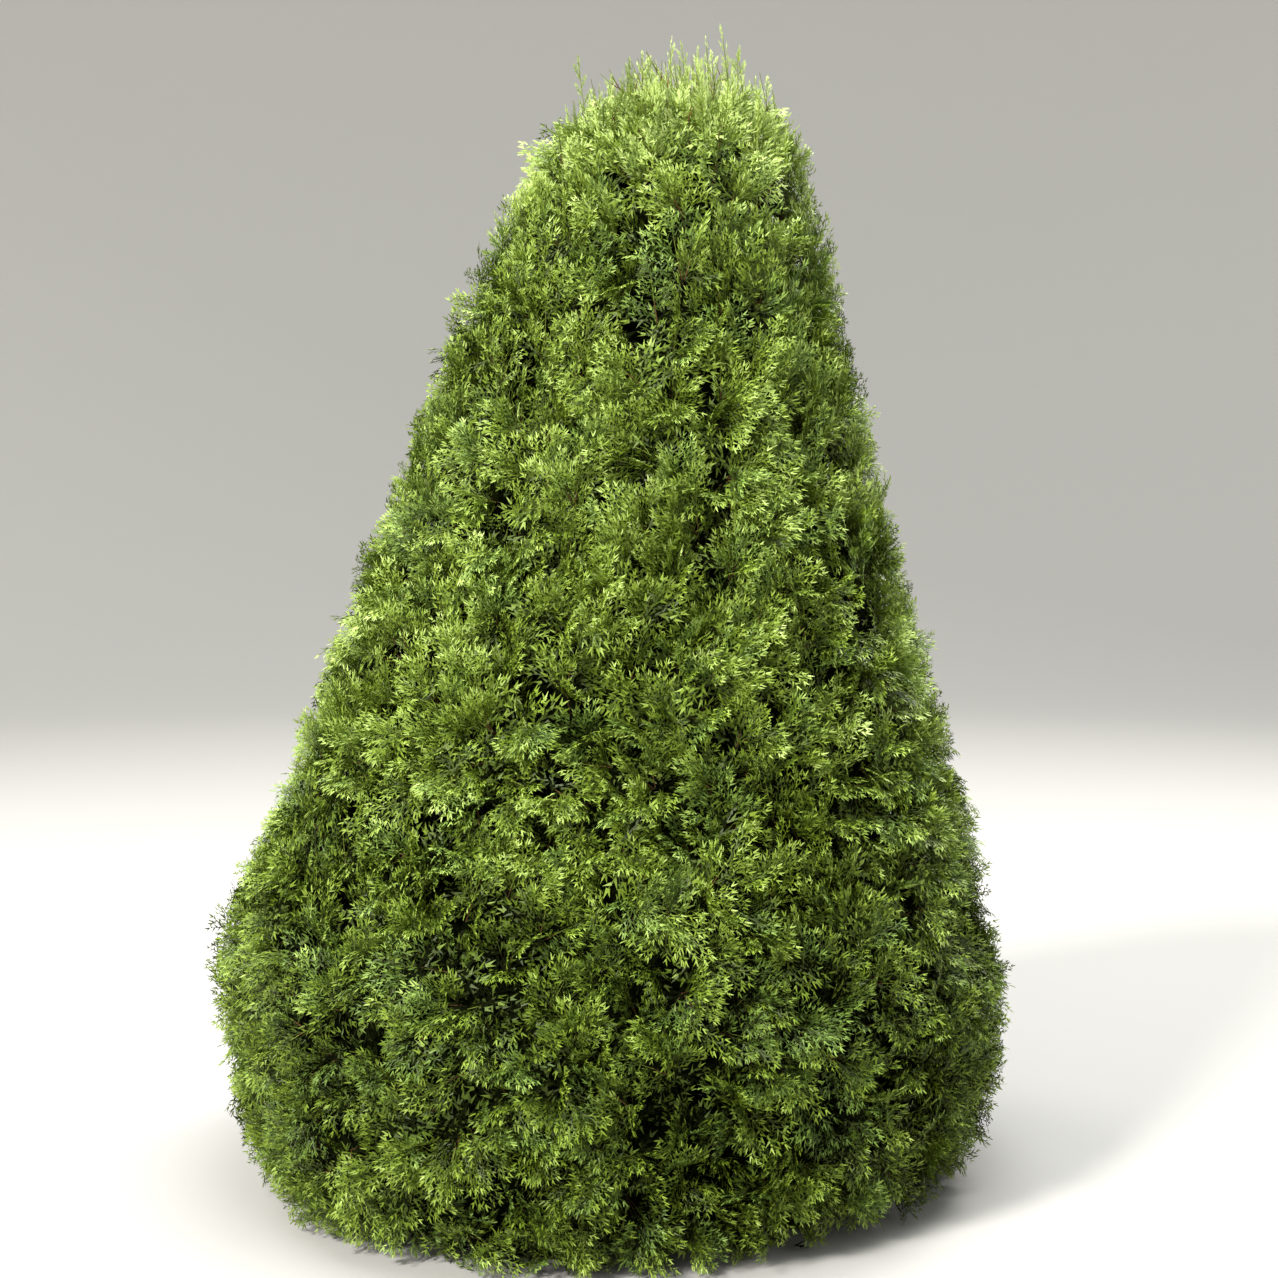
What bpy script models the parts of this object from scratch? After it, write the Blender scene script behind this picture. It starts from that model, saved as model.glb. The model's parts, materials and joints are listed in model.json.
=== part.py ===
"""Arborvitae: a broad, dense evergreen cone, rooted in the ground.

A leaning trunk runs up through the crown to its top. Boughs leave it low down, and the crown is a
shell of foliage masses round a hollow middle. Each mass is one closed body: a stem from its bough
or from the trunk, a core, and fans of scale leaves, as toothed blades, that stand out of the core.

Metres, +Z up. The origin is on the ground, at the middle of the trunk's flat cut.
"""

import math
import random

import bmesh
import bpy
from mathutils import Matrix, Vector
from mathutils.bvhtree import BVHTree

UP = Vector((0.0, 0.0, 1.0))
GOLDEN_ANGLE = math.pi * (3.0 - math.sqrt(5.0))
TOUCH_GAP = 0.0003
SEED = 41

# Crown: height above the ground, and how far the leaf tips reach from the trunk's axis
CROWN_OUTLINE = (
    (0.00, 0.80),
    (0.18, 0.88),
    (0.48, 0.91),
    (0.85, 0.79),
    (1.45, 0.60),
    (2.00, 0.43),
    (2.38, 0.29),
    (2.47, 0.22),
    (2.56, 0.04),
)
CROWN_TOP = CROWN_OUTLINE[-1][0]
LOBES = 3
LOBE_DEPTH = 0.02
LOBE_TWIST = 2.0
SKIRT_SHIFT = 0.03  # the skirt reaches this much further on the side away from the lean
SKIRT_HEIGHT = 0.58
SKIRT_DEPTH = 0.18

# Trunk
TIP_LEAN = 0.150
TIP_SWAY = 0.020
TRUNK_TOP = 2.200
TRUNK_FOOT_RADIUS = 0.046
TRUNK_TIP_RADIUS = 0.006
TRUNK_TAPER = 0.9
FLARE = 0.026
FLARE_HEIGHT = 0.055
ROOT_RIDGES = 5
RIDGE_DEPTH = 0.45
RIDGE_BEARING = 0.7
TRUNK_SIDES = 15
TRUNK_RINGS = (0.0, 0.035, 0.08, 0.15, 0.30, 0.60, 0.95, 1.30, 1.65, 2.00, TRUNK_TOP)

# Foliage tiers: height of the masses' middles, how many stand round the trunk, the first one's bearing
TIERS = (
    (0.23, 7, 10.0),
    (0.61, 7, 38.0),
    (0.99, 6, 4.0),
    (1.35, 5, 50.0),
    (1.67, 4, 20.0),
    (1.96, 3, 75.0),
    (2.22, 3, 15.0),
)
BOUGH_TIERS = 3  # the first tiers hang on boughs, and the others on stems from the trunk
HEIGHT_JITTER = 0.03
BEARING_JITTER = 7.0
SITE_DEPTH = 0.20  # a mass's middle lies this far inside the leaf tips
LEADER = "foliage_leader"
LEADER_SITE = 2.35

# Cores, measured in from the leaf tips
CORE_OUTER = 0.085
CORE_INNER = 0.335
CORE_WALL_GAP = 0.009
CORE_GROUND_GAP = 0.055
CORE_REACH = 0.42
CORE_STEP = 0.01
CORE_CORNERS = 1.45  # how far a point of a core may stand out, next to the mean of those round it

# Boughs and stems
BOUGH_FOOT_RADIUS = 0.014
BOUGH_TIP_RADIUS = 0.008
BOUGH_SIDES = 5
BOUGH_STEPS = 6
BOUGH_DROP = 0.26  # a bough leaves the trunk this far below its mass
STEM_DROP = 0.16  # and a stem this far
LOWEST_LIMB = 0.10
LIMB_STAGGER = 0.03  # limbs of one tier leave the trunk at three heights, this far apart
HALFWAY_RISE = 0.3  # share of its rise that a limb bends through in its first half
STEM_RADIUS = 0.0075
STEM_SIDES = 3
STEM_SHOWS = 0.035  # length of stem between the bough's tip and the core

# Fans of leaves: how many are tried on a mass at the foot of the crown, and at its top
FANS_LOW = 14
FANS_HIGH = 9
FAN_SPREAD = 1.75  # how wide a mass's fans spread, as the tangent of the half angle
FAN_LENGTH = 0.20
FAN_THICKNESS = 0.0045
FAN_ROOT_DEPTH = 0.016
FAN_OVERSHOOT = 0.004
WALL_GAP = 0.0015
GROUND_GAP = 0.004
CREASE_DEPTH = 0.06  # how far the leaf tips fall back between two masses
CREASE_WIDTH = 0.10
RISE_LOW = 0.15  # how much fans turn upward at the foot of the crown
RISE_HIGH = 1.10  # and how much more at its top
STRAY = 0.22
SURFACE_SEARCH = 0.8
SURFACE_HALVINGS = 24

# A fan's right half, from root to shoulder, in shares of its length: across, along
FAN_EDGE = ((0.035, 0.0), (0.29, 0.62), (0.13, 0.66))

# Tries to seat a fan: lean from its growth to a straight way out, length, and turn about its rib
LEANS = (0.0, 0.25, 0.5, 0.75, 1.0)
STRETCHES = (0.85, 1.0, 1.2, 1.4)
TURNS = (0.0, 0.5, 1.0, 1.5, 2.0, 2.5)

BARK_COLOUR = (0.23, 0.15, 0.10, 1.0)
BRANCH_COLOUR = (0.30, 0.17, 0.09, 1.0)
FOLIAGE_LOW = (0.075, 0.16, 0.025)
FOLIAGE_HIGH = (0.17, 0.32, 0.045)
BARK_ROUGHNESS = 0.9
BRANCH_ROUGHNESS = 0.85
FOLIAGE_ROUGHNESS = 0.6


# Crown shape


def trunk_axis(height):
    """The middle of the trunk, and of the crown round it, at a height."""
    share = max(0.0, height / CROWN_TOP)
    return Vector((TIP_LEAN * share**1.2, TIP_SWAY * math.sin(math.pi * share), height))


def outline_reach(height):
    """The outline's reach at a height, on straight runs between its rows, and 0 above the top."""
    for (low, low_reach), (high, high_reach) in zip(CROWN_OUTLINE, CROWN_OUTLINE[1:]):
        if height < high:
            share = max(0.0, (height - low) / (high - low))
            return low_reach + (high_reach - low_reach) * share
    return 0.0


def crown_reach(height, bearing):
    """How far the leaf tips reach from the axis, with broad lobes and a skirt that sits to one side."""
    lobes = 1.0 + LOBE_DEPTH * math.cos(LOBES * bearing + LOBE_TWIST * height)
    skirt = math.exp(-(((height - SKIRT_HEIGHT) / SKIRT_DEPTH) ** 2))
    return outline_reach(height) * lobes - SKIRT_SHIFT * skirt * math.cos(bearing)


def out_from_axis(point):
    """Level distance and bearing of a point from the trunk's axis."""
    level = point - trunk_axis(point.z)
    return math.hypot(level.x, level.y), math.atan2(level.y, level.x)


def depth_in_crown(point, rise=0.0):
    """How far a point lies inside the leaf tips, whose reach is read a little higher if a rise is given."""
    distance, bearing = out_from_axis(point)
    return crown_reach(point.z + rise, bearing) - distance


def crown_normal(height, bearing):
    """The way the crown's surface faces."""
    step = 0.08
    slope = (crown_reach(height - step, bearing) - crown_reach(height + step, bearing)) / (2 * step)
    return Vector((math.cos(bearing), math.sin(bearing), slope)).normalized()


def surface_point(start, way):
    """Where a straight line from inside the crown meets the leaf tips' surface or the ground."""
    low, high = 0.0, SURFACE_SEARCH
    for _ in range(SURFACE_HALVINGS):
        half = (low + high) / 2
        point = start + way * half
        within = depth_in_crown(point) > 0.0 and point.z > GROUND_GAP
        low, high = (half, high) if within else (low, half)
    return start + way * low


def trunk_radius(height):
    """The trunk's radius above its root flare."""
    share = min(1.0, height / TRUNK_TOP)
    return TRUNK_FOOT_RADIUS + (TRUNK_TIP_RADIUS - TRUNK_FOOT_RADIUS) * share**TRUNK_TAPER


# Where the masses stand


def mass_sites():
    """Each mass's name, tier, number, middle and the way it faces, in order up the crown."""
    rng = random.Random(SEED)
    sites = []
    for tier, (height, count, first) in enumerate(TIERS, start=1):
        for number in range(1, count + 1):
            turn = first + 360.0 * (number - 1) / count
            bearing = math.radians(turn + rng.uniform(-BEARING_JITTER, BEARING_JITTER))
            z = height + rng.uniform(-HEIGHT_JITTER, HEIGHT_JITTER)
            outward = Vector((math.cos(bearing), math.sin(bearing), 0.0))
            middle = trunk_axis(z) + outward * (crown_reach(z, bearing) - SITE_DEPTH)
            faces = crown_normal(z, bearing)
            sites.append((f"foliage_{tier}_{number}", tier, number, middle, faces))
    sites.append((LEADER, len(TIERS) + 1, 0, trunk_axis(LEADER_SITE), UP.copy()))
    return sites


def wall_distance(point, middle, others):
    """How far a point lies inside a mass's own space, whose walls stand halfway to its neighbours."""
    return min((other - middle).normalized().dot((other + middle) / 2 - point) for other in others)


# Bodies


def body_of(name, bm):
    """A new object from a bmesh, its normals facing out, in the scene's own collection."""
    bmesh.ops.recalc_face_normals(bm, faces=bm.faces)
    mesh = bpy.data.meshes.new(name)
    bm.to_mesh(mesh)
    bm.free()
    body = bpy.data.objects.new(name, mesh)
    bpy.context.scene.collection.objects.link(body)
    return body


def lofted(name, rings):
    """A closed body through rings of points, with a flat cap at each end."""
    bm = bmesh.new()
    loops = [[bm.verts.new(point) for point in ring] for ring in rings]
    sides = len(loops[0])
    for low, high in zip(loops, loops[1:]):
        for i in range(sides):
            j = (i + 1) % sides
            bm.faces.new((low[i], low[j], high[j], high[i]))
    bm.faces.new(loops[0])
    bm.faces.new(loops[-1])
    bmesh.ops.triangulate(bm, faces=bm.faces, quad_method="FIXED")
    return body_of(name, bm)


def limb(name, path, radii, sides):
    """One tapering limb along a path of points."""
    angles = [2 * math.pi * n / sides for n in range(sides)]
    rings = []
    for i, point in enumerate(path):
        along = path[min(i + 1, len(path) - 1)] - path[max(i - 1, 0)]
        turn = along.to_track_quat("Z", "Y").to_matrix()
        rings.append([point + turn @ Vector((math.cos(a), math.sin(a), 0.0)) * radii[i] for a in angles])
    return lofted(name, rings)


def trunk_body(name, grown=0.0):
    """The trunk from its flat cut to its tip, with ridged root flare, grown all round if asked."""
    rings = []
    for height in TRUNK_RINGS:
        ring = []
        for n in range(TRUNK_SIDES):
            angle = 2 * math.pi * n / TRUNK_SIDES
            ridge = 1.0 + RIDGE_DEPTH * math.cos(ROOT_RIDGES * angle + RIDGE_BEARING)
            flare = FLARE * math.exp(-height / FLARE_HEIGHT) * ridge
            radius = trunk_radius(height) + flare + grown
            ring.append(trunk_axis(height) + Vector((math.cos(angle), math.sin(angle), 0.0)) * radius)
        rings.append(ring)
    rings[0] = [point - UP * grown for point in rings[0]]
    rings[-1] = [point + UP * grown for point in rings[-1]]
    return lofted(name, rings)


def in_core(point, name, middle, others):
    """Whether a point may belong to the core of this mass."""
    if wall_distance(point, middle, others) < CORE_WALL_GAP or point.z < CORE_GROUND_GAP:
        return False
    if depth_in_crown(point, CORE_OUTER) < CORE_OUTER:
        return False
    if name == LEADER:
        return point.z > TRUNK_TOP + STEM_SHOWS
    distance, bearing = out_from_axis(point)
    hollow = crown_reach(point.z, bearing) - CORE_INNER
    return distance > max(hollow, trunk_radius(point.z) + CORE_WALL_GAP)


def core_body(name, middle, others):
    """A mass's core: a small ball whose points each move out as far as the core may reach."""
    bm = bmesh.new()
    bmesh.ops.create_icosphere(bm, subdivisions=2, radius=1.0)
    steps = [CORE_STEP * n for n in range(1, round(CORE_REACH / CORE_STEP))]
    reach = {}
    for vert in bm.verts:
        way = vert.co.normalized()
        reach[vert] = CORE_STEP
        for step in steps:
            if not in_core(middle + way * step, name, middle, others):
                break
            reach[vert] = step
    eased = {}
    for vert in bm.verts:
        near = [reach[edge.other_vert(vert)] for edge in vert.link_edges]
        mean = (reach[vert] + sum(near)) / (1 + len(near))
        eased[vert] = min(reach[vert], mean * CORE_CORNERS)
    for vert in bm.verts:
        vert.co = middle + vert.co.normalized() * eased[vert]
    return body_of(name, bm)


# Joining, cutting and colour


def apply_modifiers(body):
    """Makes the evaluated mesh the body's own."""
    graph = bpy.context.evaluated_depsgraph_get()
    made = bpy.data.meshes.new_from_object(body.evaluated_get(graph))
    old = body.data
    body.modifiers.clear()
    body.data = made
    bpy.data.meshes.remove(old)
    made.name = body.name


def fuse(body, others):
    """Joins the others into the body with one union, then removes them."""
    group = bpy.data.collections.new(f"{body.name}_pieces")
    for other in others:
        bpy.context.scene.collection.objects.unlink(other)
        group.objects.link(other)
    union = body.modifiers.new("fuse", "BOOLEAN")
    union.operation = "UNION"
    union.operand_type = "COLLECTION"
    union.collection = group
    union.solver = "EXACT"
    apply_modifiers(body)
    for other in others:
        bpy.data.objects.remove(other)
    bpy.data.collections.remove(group)


def trim(body, cutter):
    """Cuts the cutter's space out of the body."""
    cut = body.modifiers.new("trim", "BOOLEAN")
    cut.operation = "DIFFERENCE"
    cut.object = cutter
    cut.solver = "EXACT"
    apply_modifiers(body)


def painted(body, colour, roughness):
    """Gives the body its own material."""
    material = bpy.data.materials.new(body.name)
    material.use_nodes = True
    shader = material.node_tree.nodes["Principled BSDF"]
    shader.inputs["Base Color"].default_value = colour
    shader.inputs["Roughness"].default_value = roughness
    shader.inputs["Metallic"].default_value = 0.0
    body.data.materials.clear()
    body.data.materials.append(material)


# Limbs


def surface_of(body):
    """A body's surface, for finding the nearest point on it."""
    return BVHTree.FromPolygons([v.co for v in body.data.vertices], [p.vertices for p in body.data.polygons])


def is_inside(surface, point, depth=0.0):
    """Whether a point is inside a closed surface by at least this depth."""
    near, normal, _, distance = surface.find_nearest(point)
    return (point - near).dot(normal) < 0.0 and distance >= depth


def limb_path(name, tier, number, middle):
    """A line that rises from the trunk's axis, steeper as it goes, to the middle of a mass."""
    if name == LEADER:
        foot = trunk_axis(TRUNK_TOP) + UP * TOUCH_GAP
        return [foot, foot + UP * STEM_SHOWS, middle]
    drop = BOUGH_DROP if tier <= BOUGH_TIERS else STEM_DROP
    foot = trunk_axis(max(LOWEST_LIMB, middle.z - drop) + LIMB_STAGGER * (number % 3))
    rise = UP * (middle.z - foot.z)
    level = middle - foot - rise
    bend = foot + level / 2 + rise * HALFWAY_RISE
    shares = [n / BOUGH_STEPS for n in range(BOUGH_STEPS + 1)]
    return [foot * (1 - t) ** 2 + bend * 2 * t * (1 - t) + middle * t**2 for t in shares]


def bough_path(path, surface):
    """The part of a limb's path that lies outside the core, less the stem that shows there."""
    outside = [point for point in path if not is_inside(surface, point)]
    while surface.find_nearest(outside[-1])[3] < STEM_SHOWS:
        outside.pop()
    return outside


def make_bough(name, path, trunk_cutter):
    """One tapering bough from the trunk's skin to its tip."""
    last = len(path) - 1
    slope = (BOUGH_TIP_RADIUS - BOUGH_FOOT_RADIUS) / last
    radii = [BOUGH_FOOT_RADIUS + slope * i for i in range(last + 1)]
    bough = limb(name, path, radii, BOUGH_SIDES)
    trim(bough, trunk_cutter)
    painted(bough, BRANCH_COLOUR, BRANCH_ROUGHNESS)


# Fans of leaves


def fan_aims(name, middle, faces, others):
    """The points on the crown's surface that a mass's fans reach, spread by the golden angle."""
    side = Vector((0.0, 1.0, 0.0)) if name == LEADER else faces.cross(UP).normalized()
    rise = side.cross(faces)
    first = random.Random(f"{SEED} {name}").uniform(0.0, 2 * math.pi)
    count = round(FANS_LOW + (FANS_HIGH - FANS_LOW) * middle.z / CROWN_TOP)
    for n in range(count):
        spread = FAN_SPREAD * math.sqrt((n + 0.35) / count)
        turn = first + n * GOLDEN_ANGLE
        way = (faces + (side * math.cos(turn) + rise * math.sin(turn)) * spread).normalized()
        aim = surface_point(middle, way)
        wall = wall_distance(aim, middle, others)
        if wall > WALL_GAP:
            yield aim - way * CREASE_DEPTH * max(0.0, 1.0 - wall / CREASE_WIDTH) ** 2


def fan_growth(point, faces, rng):
    """The way a fan grows: outward, straying a little, and more upward the higher it stands."""
    rise = RISE_LOW + RISE_HIGH * (point.z / CROWN_TOP) ** 2
    stray = Vector([rng.uniform(-STRAY, STRAY) for _ in range(3)])
    return (faces + UP * rise + stray).normalized()


def fan_rings(root, along, face, length):
    """The two flat sides of a fan: toothed outlines, narrow at the root."""
    across = along.cross(face).normalized()
    right = [(x * length, y * length) for x, y in FAN_EDGE]
    outline = right + [(0.0, length)] + [(-x, y) for x, y in reversed(right)]
    flat = [root + across * x + along * y for x, y in outline]
    half = face * FAN_THICKNESS / 2
    return [[point - half for point in flat], [point + half for point in flat]]


def fan_fits(points, middle, others):
    """Whether every point keeps to the mass's space, off the ground and inside the crown."""
    return all(
        point.z > GROUND_GAP
        and wall_distance(point, middle, others) > WALL_GAP
        and depth_in_crown(point) > -FAN_OVERSHOOT
        for point in points
    )


def seated_fan(aim, middle, faces, others, surface, rng):
    """The rings of a fan with its tip at the aim and its root well inside the core, if one fits."""
    grows = fan_growth(aim, faces, rng)
    straight = (aim - middle).normalized()
    roll = rng.uniform(0.0, math.pi)
    length = FAN_LENGTH * rng.uniform(0.85, 1.2)
    for lean in LEANS:
        along = (grows * (1 - lean) + straight * lean).normalized()
        for stretch in STRETCHES:
            root = aim - along * length * stretch
            if not is_inside(surface, root, FAN_ROOT_DEPTH):
                continue
            for turn in TURNS:
                face = along.orthogonal().normalized()
                face.rotate(Matrix.Rotation(roll + turn, 3, along))
                rings = fan_rings(root, along, face, length * stretch)
                if fan_fits(rings[0] + rings[1], middle, others):
                    return rings
    return None


def make_mass(name, tier, number, middle, faces, others, trunk_cutter):
    """One mass of foliage, with the bough that carries it where its tier has boughs."""
    core = core_body(name, middle, others)
    surface = surface_of(core)
    path = limb_path(name, tier, number, middle)
    if tier <= BOUGH_TIERS:
        path_to_tip = bough_path(path, surface)
        make_bough(f"bough_{tier}_{number}", path_to_tip, trunk_cutter)
        way = (path_to_tip[-1] - path_to_tip[-2]).normalized()
        foot = path_to_tip[-1] + way * TOUCH_GAP
        path = [foot, foot + way * STEM_SHOWS / 2, middle]
    pieces = [limb(f"{name}_stem", path, [STEM_RADIUS] * len(path), STEM_SIDES)]
    for n, aim in enumerate(fan_aims(name, middle, faces, others)):
        rng = random.Random(f"{SEED} {name} {n}")
        rings = seated_fan(aim, middle, faces, others, surface, rng)
        if rings:
            pieces.append(lofted(f"{name}_fan_{n}", rings))
    fuse(core, pieces)
    if tier > BOUGH_TIERS and name != LEADER:
        trim(core, trunk_cutter)
    share = middle.z / CROWN_TOP
    colour = [low + (high - low) * share for low, high in zip(FOLIAGE_LOW, FOLIAGE_HIGH)]
    painted(core, (*colour, 1.0), FOLIAGE_ROUGHNESS)
    print(name, "fans", len(pieces) - 1)


def main():
    for old in list(bpy.data.objects):
        bpy.data.objects.remove(old)
    trunk = trunk_body("trunk")
    painted(trunk, BARK_COLOUR, BARK_ROUGHNESS)
    cutter = trunk_body("trunk_clearance", TOUCH_GAP)
    cutter.hide_render = True
    cutter.display_type = "WIRE"
    sites = mass_sites()
    for name, tier, number, middle, faces in sites:
        others = [site[3] for site in sites if site[0] != name]
        make_mass(name, tier, number, middle, faces, others, cutter)


main()
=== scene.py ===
# %% [markdown]
# # An arborvitae, from its trunk to the tips of its leaf sprays
#
# The plant is a broad cone of evergreen foliage that reaches down to the ground. Inside it a trunk with
# stringy bark leans a little to one side, boughs leave it, twigs leave those, and the twigs end in flat,
# fern-like sprays of scale leaves. This lesson grows it in that order, outward from the trunk, so that
# every leaf spray hangs on wood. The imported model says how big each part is, so it comes in first.

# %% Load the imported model
import json
import math
import random
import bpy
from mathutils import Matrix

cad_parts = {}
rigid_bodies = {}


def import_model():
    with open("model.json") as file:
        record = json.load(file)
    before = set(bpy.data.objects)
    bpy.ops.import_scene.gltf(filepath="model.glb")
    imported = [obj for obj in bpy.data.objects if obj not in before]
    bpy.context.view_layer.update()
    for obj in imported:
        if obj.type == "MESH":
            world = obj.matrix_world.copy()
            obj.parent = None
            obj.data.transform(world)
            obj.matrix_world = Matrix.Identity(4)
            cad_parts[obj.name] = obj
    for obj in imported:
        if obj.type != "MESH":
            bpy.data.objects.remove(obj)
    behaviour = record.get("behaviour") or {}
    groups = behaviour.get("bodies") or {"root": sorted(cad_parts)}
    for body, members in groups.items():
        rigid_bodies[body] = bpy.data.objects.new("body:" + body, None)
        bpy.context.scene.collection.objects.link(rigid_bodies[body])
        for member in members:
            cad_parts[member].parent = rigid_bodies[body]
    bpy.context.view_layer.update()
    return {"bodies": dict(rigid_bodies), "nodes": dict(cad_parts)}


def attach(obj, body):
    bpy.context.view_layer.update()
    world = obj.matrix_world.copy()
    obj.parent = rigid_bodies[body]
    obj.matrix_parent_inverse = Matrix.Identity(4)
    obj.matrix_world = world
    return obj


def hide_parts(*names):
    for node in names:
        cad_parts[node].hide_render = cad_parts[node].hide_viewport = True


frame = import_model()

from types import SimpleNamespace

import bpy
import numpy as np
from mathutils import Vector
from mathutils.kdtree import KDTree

BODY = next(iter(frame["bodies"]))

# %% [markdown]
# ## The crown's form
#
# From a few steps away a clipped or naturally dense conifer is one simple shape: a cone with a bulging
# skirt. It could be sculpted, but a rule is easier to change and to grow leaves on. So the crown is a
# function: at each height and bearing it says how far the leaf tips reach from the trunk's axis. A few
# lobes and a skirt that bulges to one side keep it from looking turned on a lathe.

# %% Measure the crown
UP = Vector((0.0, 0.0, 1.0))
GOLDEN_ANGLE = math.pi * (3.0 - math.sqrt(5.0))
SEED = 41

# Height above the ground, and how far the leaf tips reach from the axis
CROWN_OUTLINE = (
    (0.00, 0.80),
    (0.18, 0.88),
    (0.48, 0.91),
    (0.85, 0.79),
    (1.45, 0.60),
    (2.00, 0.43),
    (2.38, 0.29),
    (2.47, 0.22),
    (2.56, 0.04),
)
CROWN_TOP = CROWN_OUTLINE[-1][0]
LOBES, LOBE_DEPTH, LOBE_TWIST = 3, 0.02, 2.0
SKIRT_SHIFT, SKIRT_HEIGHT, SKIRT_DEPTH = 0.03, 0.58, 0.18
TIP_LEAN, TIP_SWAY = 0.150, 0.020
GROUND_GAP = 0.004
SLOPE_STEP = 0.08


def trunk_axis(height):
    """The middle of the trunk, and of the crown round it, at a height."""
    share = max(0.0, height / CROWN_TOP)
    return Vector((TIP_LEAN * share**1.2, TIP_SWAY * math.sin(math.pi * share), height))


def outline_reach(height):
    """The outline's reach at a height, on straight runs between its rows, and 0 above the top."""
    for (low, low_reach), (high, high_reach) in zip(CROWN_OUTLINE, CROWN_OUTLINE[1:]):
        if height < high:
            share = max(0.0, (height - low) / (high - low))
            return low_reach + (high_reach - low_reach) * share
    return 0.0


def crown_reach(height, bearing):
    """How far the leaf tips reach from the axis."""
    lobes = 1.0 + LOBE_DEPTH * math.cos(LOBES * bearing + LOBE_TWIST * height)
    skirt = math.exp(-(((height - SKIRT_HEIGHT) / SKIRT_DEPTH) ** 2))
    return outline_reach(height) * lobes - SKIRT_SHIFT * skirt * math.cos(bearing)


def depth_in_crown(point):
    """How far a point lies inside the leaf tips, measured level."""
    level = point - trunk_axis(point.z)
    return crown_reach(point.z, math.atan2(level.y, level.x)) - math.hypot(level.x, level.y)


def crown_normal(height, bearing):
    """The way the crown's surface faces."""
    fall = crown_reach(height - SLOPE_STEP, bearing) - crown_reach(height + SLOPE_STEP, bearing)
    return Vector((math.cos(bearing), math.sin(bearing), fall / (2 * SLOPE_STEP))).normalized()


def normal_at(point):
    """The way the crown's surface faces at the height and bearing of a point."""
    level = point - trunk_axis(point.z)
    return crown_normal(point.z, math.atan2(level.y, level.x))


SURFACE_SEARCH, SURFACE_HALVINGS = 0.8, 16


def surface_distance(start, way):
    """How far a straight line from inside the crown runs before it meets the leaf tips or the ground."""
    low, high = 0.0, SURFACE_SEARCH
    for _ in range(SURFACE_HALVINGS):
        half = (low + high) / 2
        point = start + way * half
        within = depth_in_crown(point) > 0.0 and point.z > GROUND_GAP
        low, high = (half, high) if within else (low, half)
    return low


for height in (0.2, 0.9, 1.8, 2.4):
    print(f"at {height} m the crown is {2 * outline_reach(height):.2f} m across")

# %% [markdown]
# ## Where the masses of foliage stand
#
# Each bough carries its own mass of twigs and sprays, and together the masses close the crown. They stand
# in tiers round the trunk, fewer towards the top, each with a small seeded shift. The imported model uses
# the same seeded rule, so each mass here grows exactly where its solid is.

# %% Place the masses
# Height of the middles, how many stand round the trunk, and the first one's bearing in degrees
TIERS = (
    (0.23, 7, 10.0),
    (0.61, 7, 38.0),
    (0.99, 6, 4.0),
    (1.35, 5, 50.0),
    (1.67, 4, 20.0),
    (1.96, 3, 75.0),
    (2.22, 3, 15.0),
)
BOUGH_TIERS = 3
HEIGHT_JITTER, BEARING_JITTER = 0.03, 7.0
SITE_DEPTH = 0.20
LEADER, LEADER_SITE = "foliage_leader", 2.35


def mass_sites():
    """Each mass's name, tier, number, middle and the way it faces, in order up the crown."""
    rng = random.Random(SEED)
    sites = []
    for tier, (height, count, first) in enumerate(TIERS, start=1):
        for number in range(1, count + 1):
            turn = first + 360.0 * (number - 1) / count
            bearing = math.radians(turn + rng.uniform(-BEARING_JITTER, BEARING_JITTER))
            z = height + rng.uniform(-HEIGHT_JITTER, HEIGHT_JITTER)
            outward = Vector((math.cos(bearing), math.sin(bearing), 0.0))
            middle = trunk_axis(z) + outward * (crown_reach(z, bearing) - SITE_DEPTH)
            sites.append((f"foliage_{tier}_{number}", tier, number, middle, crown_normal(z, bearing)))
    sites.append((LEADER, len(TIERS) + 1, 0, trunk_axis(LEADER_SITE), UP.copy()))
    return sites


def wall_distance(point, middle, others):
    """How far a point lies inside a mass's own space, whose walls stand halfway to its neighbours."""
    return min((other - middle).normalized().dot((other + middle) / 2 - point) for other in others)


SITES = mass_sites()
print(len(SITES), "masses of foliage")

# %% [markdown]
# ## Bark and branch wood
#
# The bark of an arborvitae is reddish grey-brown and comes off in long, narrow, stringy strips. Both the
# trunk and its branches show them, only finer and more orange on young wood. A photograph of bark could
# be wrapped round, but it would smear at the forks and show a seam. So the strips are a shader node
# group: noise stretched along the height, which puts out a mask, a relief and patches of weather. Each
# wood places the group with its own size and mixes its own colours from the masks.

# %% Helpers for materials
def new_group(name, numbers, outputs):
    """An empty node group with number inputs, and outputs of the kinds given."""
    group = bpy.data.node_groups.new(name, "ShaderNodeTree")
    for label, value in numbers:
        socket = group.interface.new_socket(label, in_out="INPUT", socket_type="NodeSocketFloat")
        socket.default_value = value
    for label, kind in outputs:
        group.interface.new_socket(label, in_out="OUTPUT", socket_type=kind)
    return group, group.nodes.new("NodeGroupInput"), group.nodes.new("NodeGroupOutput")


def add_node(tree, kind, inputs, **settings):
    """A shader node with its settings, and a value or a link for each input that is named."""
    node = tree.nodes.new(f"ShaderNode{kind}")
    for setting, value in settings.items():
        setattr(node, setting, value)
    for label, value in inputs.items():
        if isinstance(value, bpy.types.NodeSocket):
            tree.links.new(value, node.inputs[label])
        else:
            node.inputs[label].default_value = value
    return node


# %% Make the strip pattern once
FIBRE_RELIEF = 0.35  # how much the fibres add to the strips' height


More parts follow.
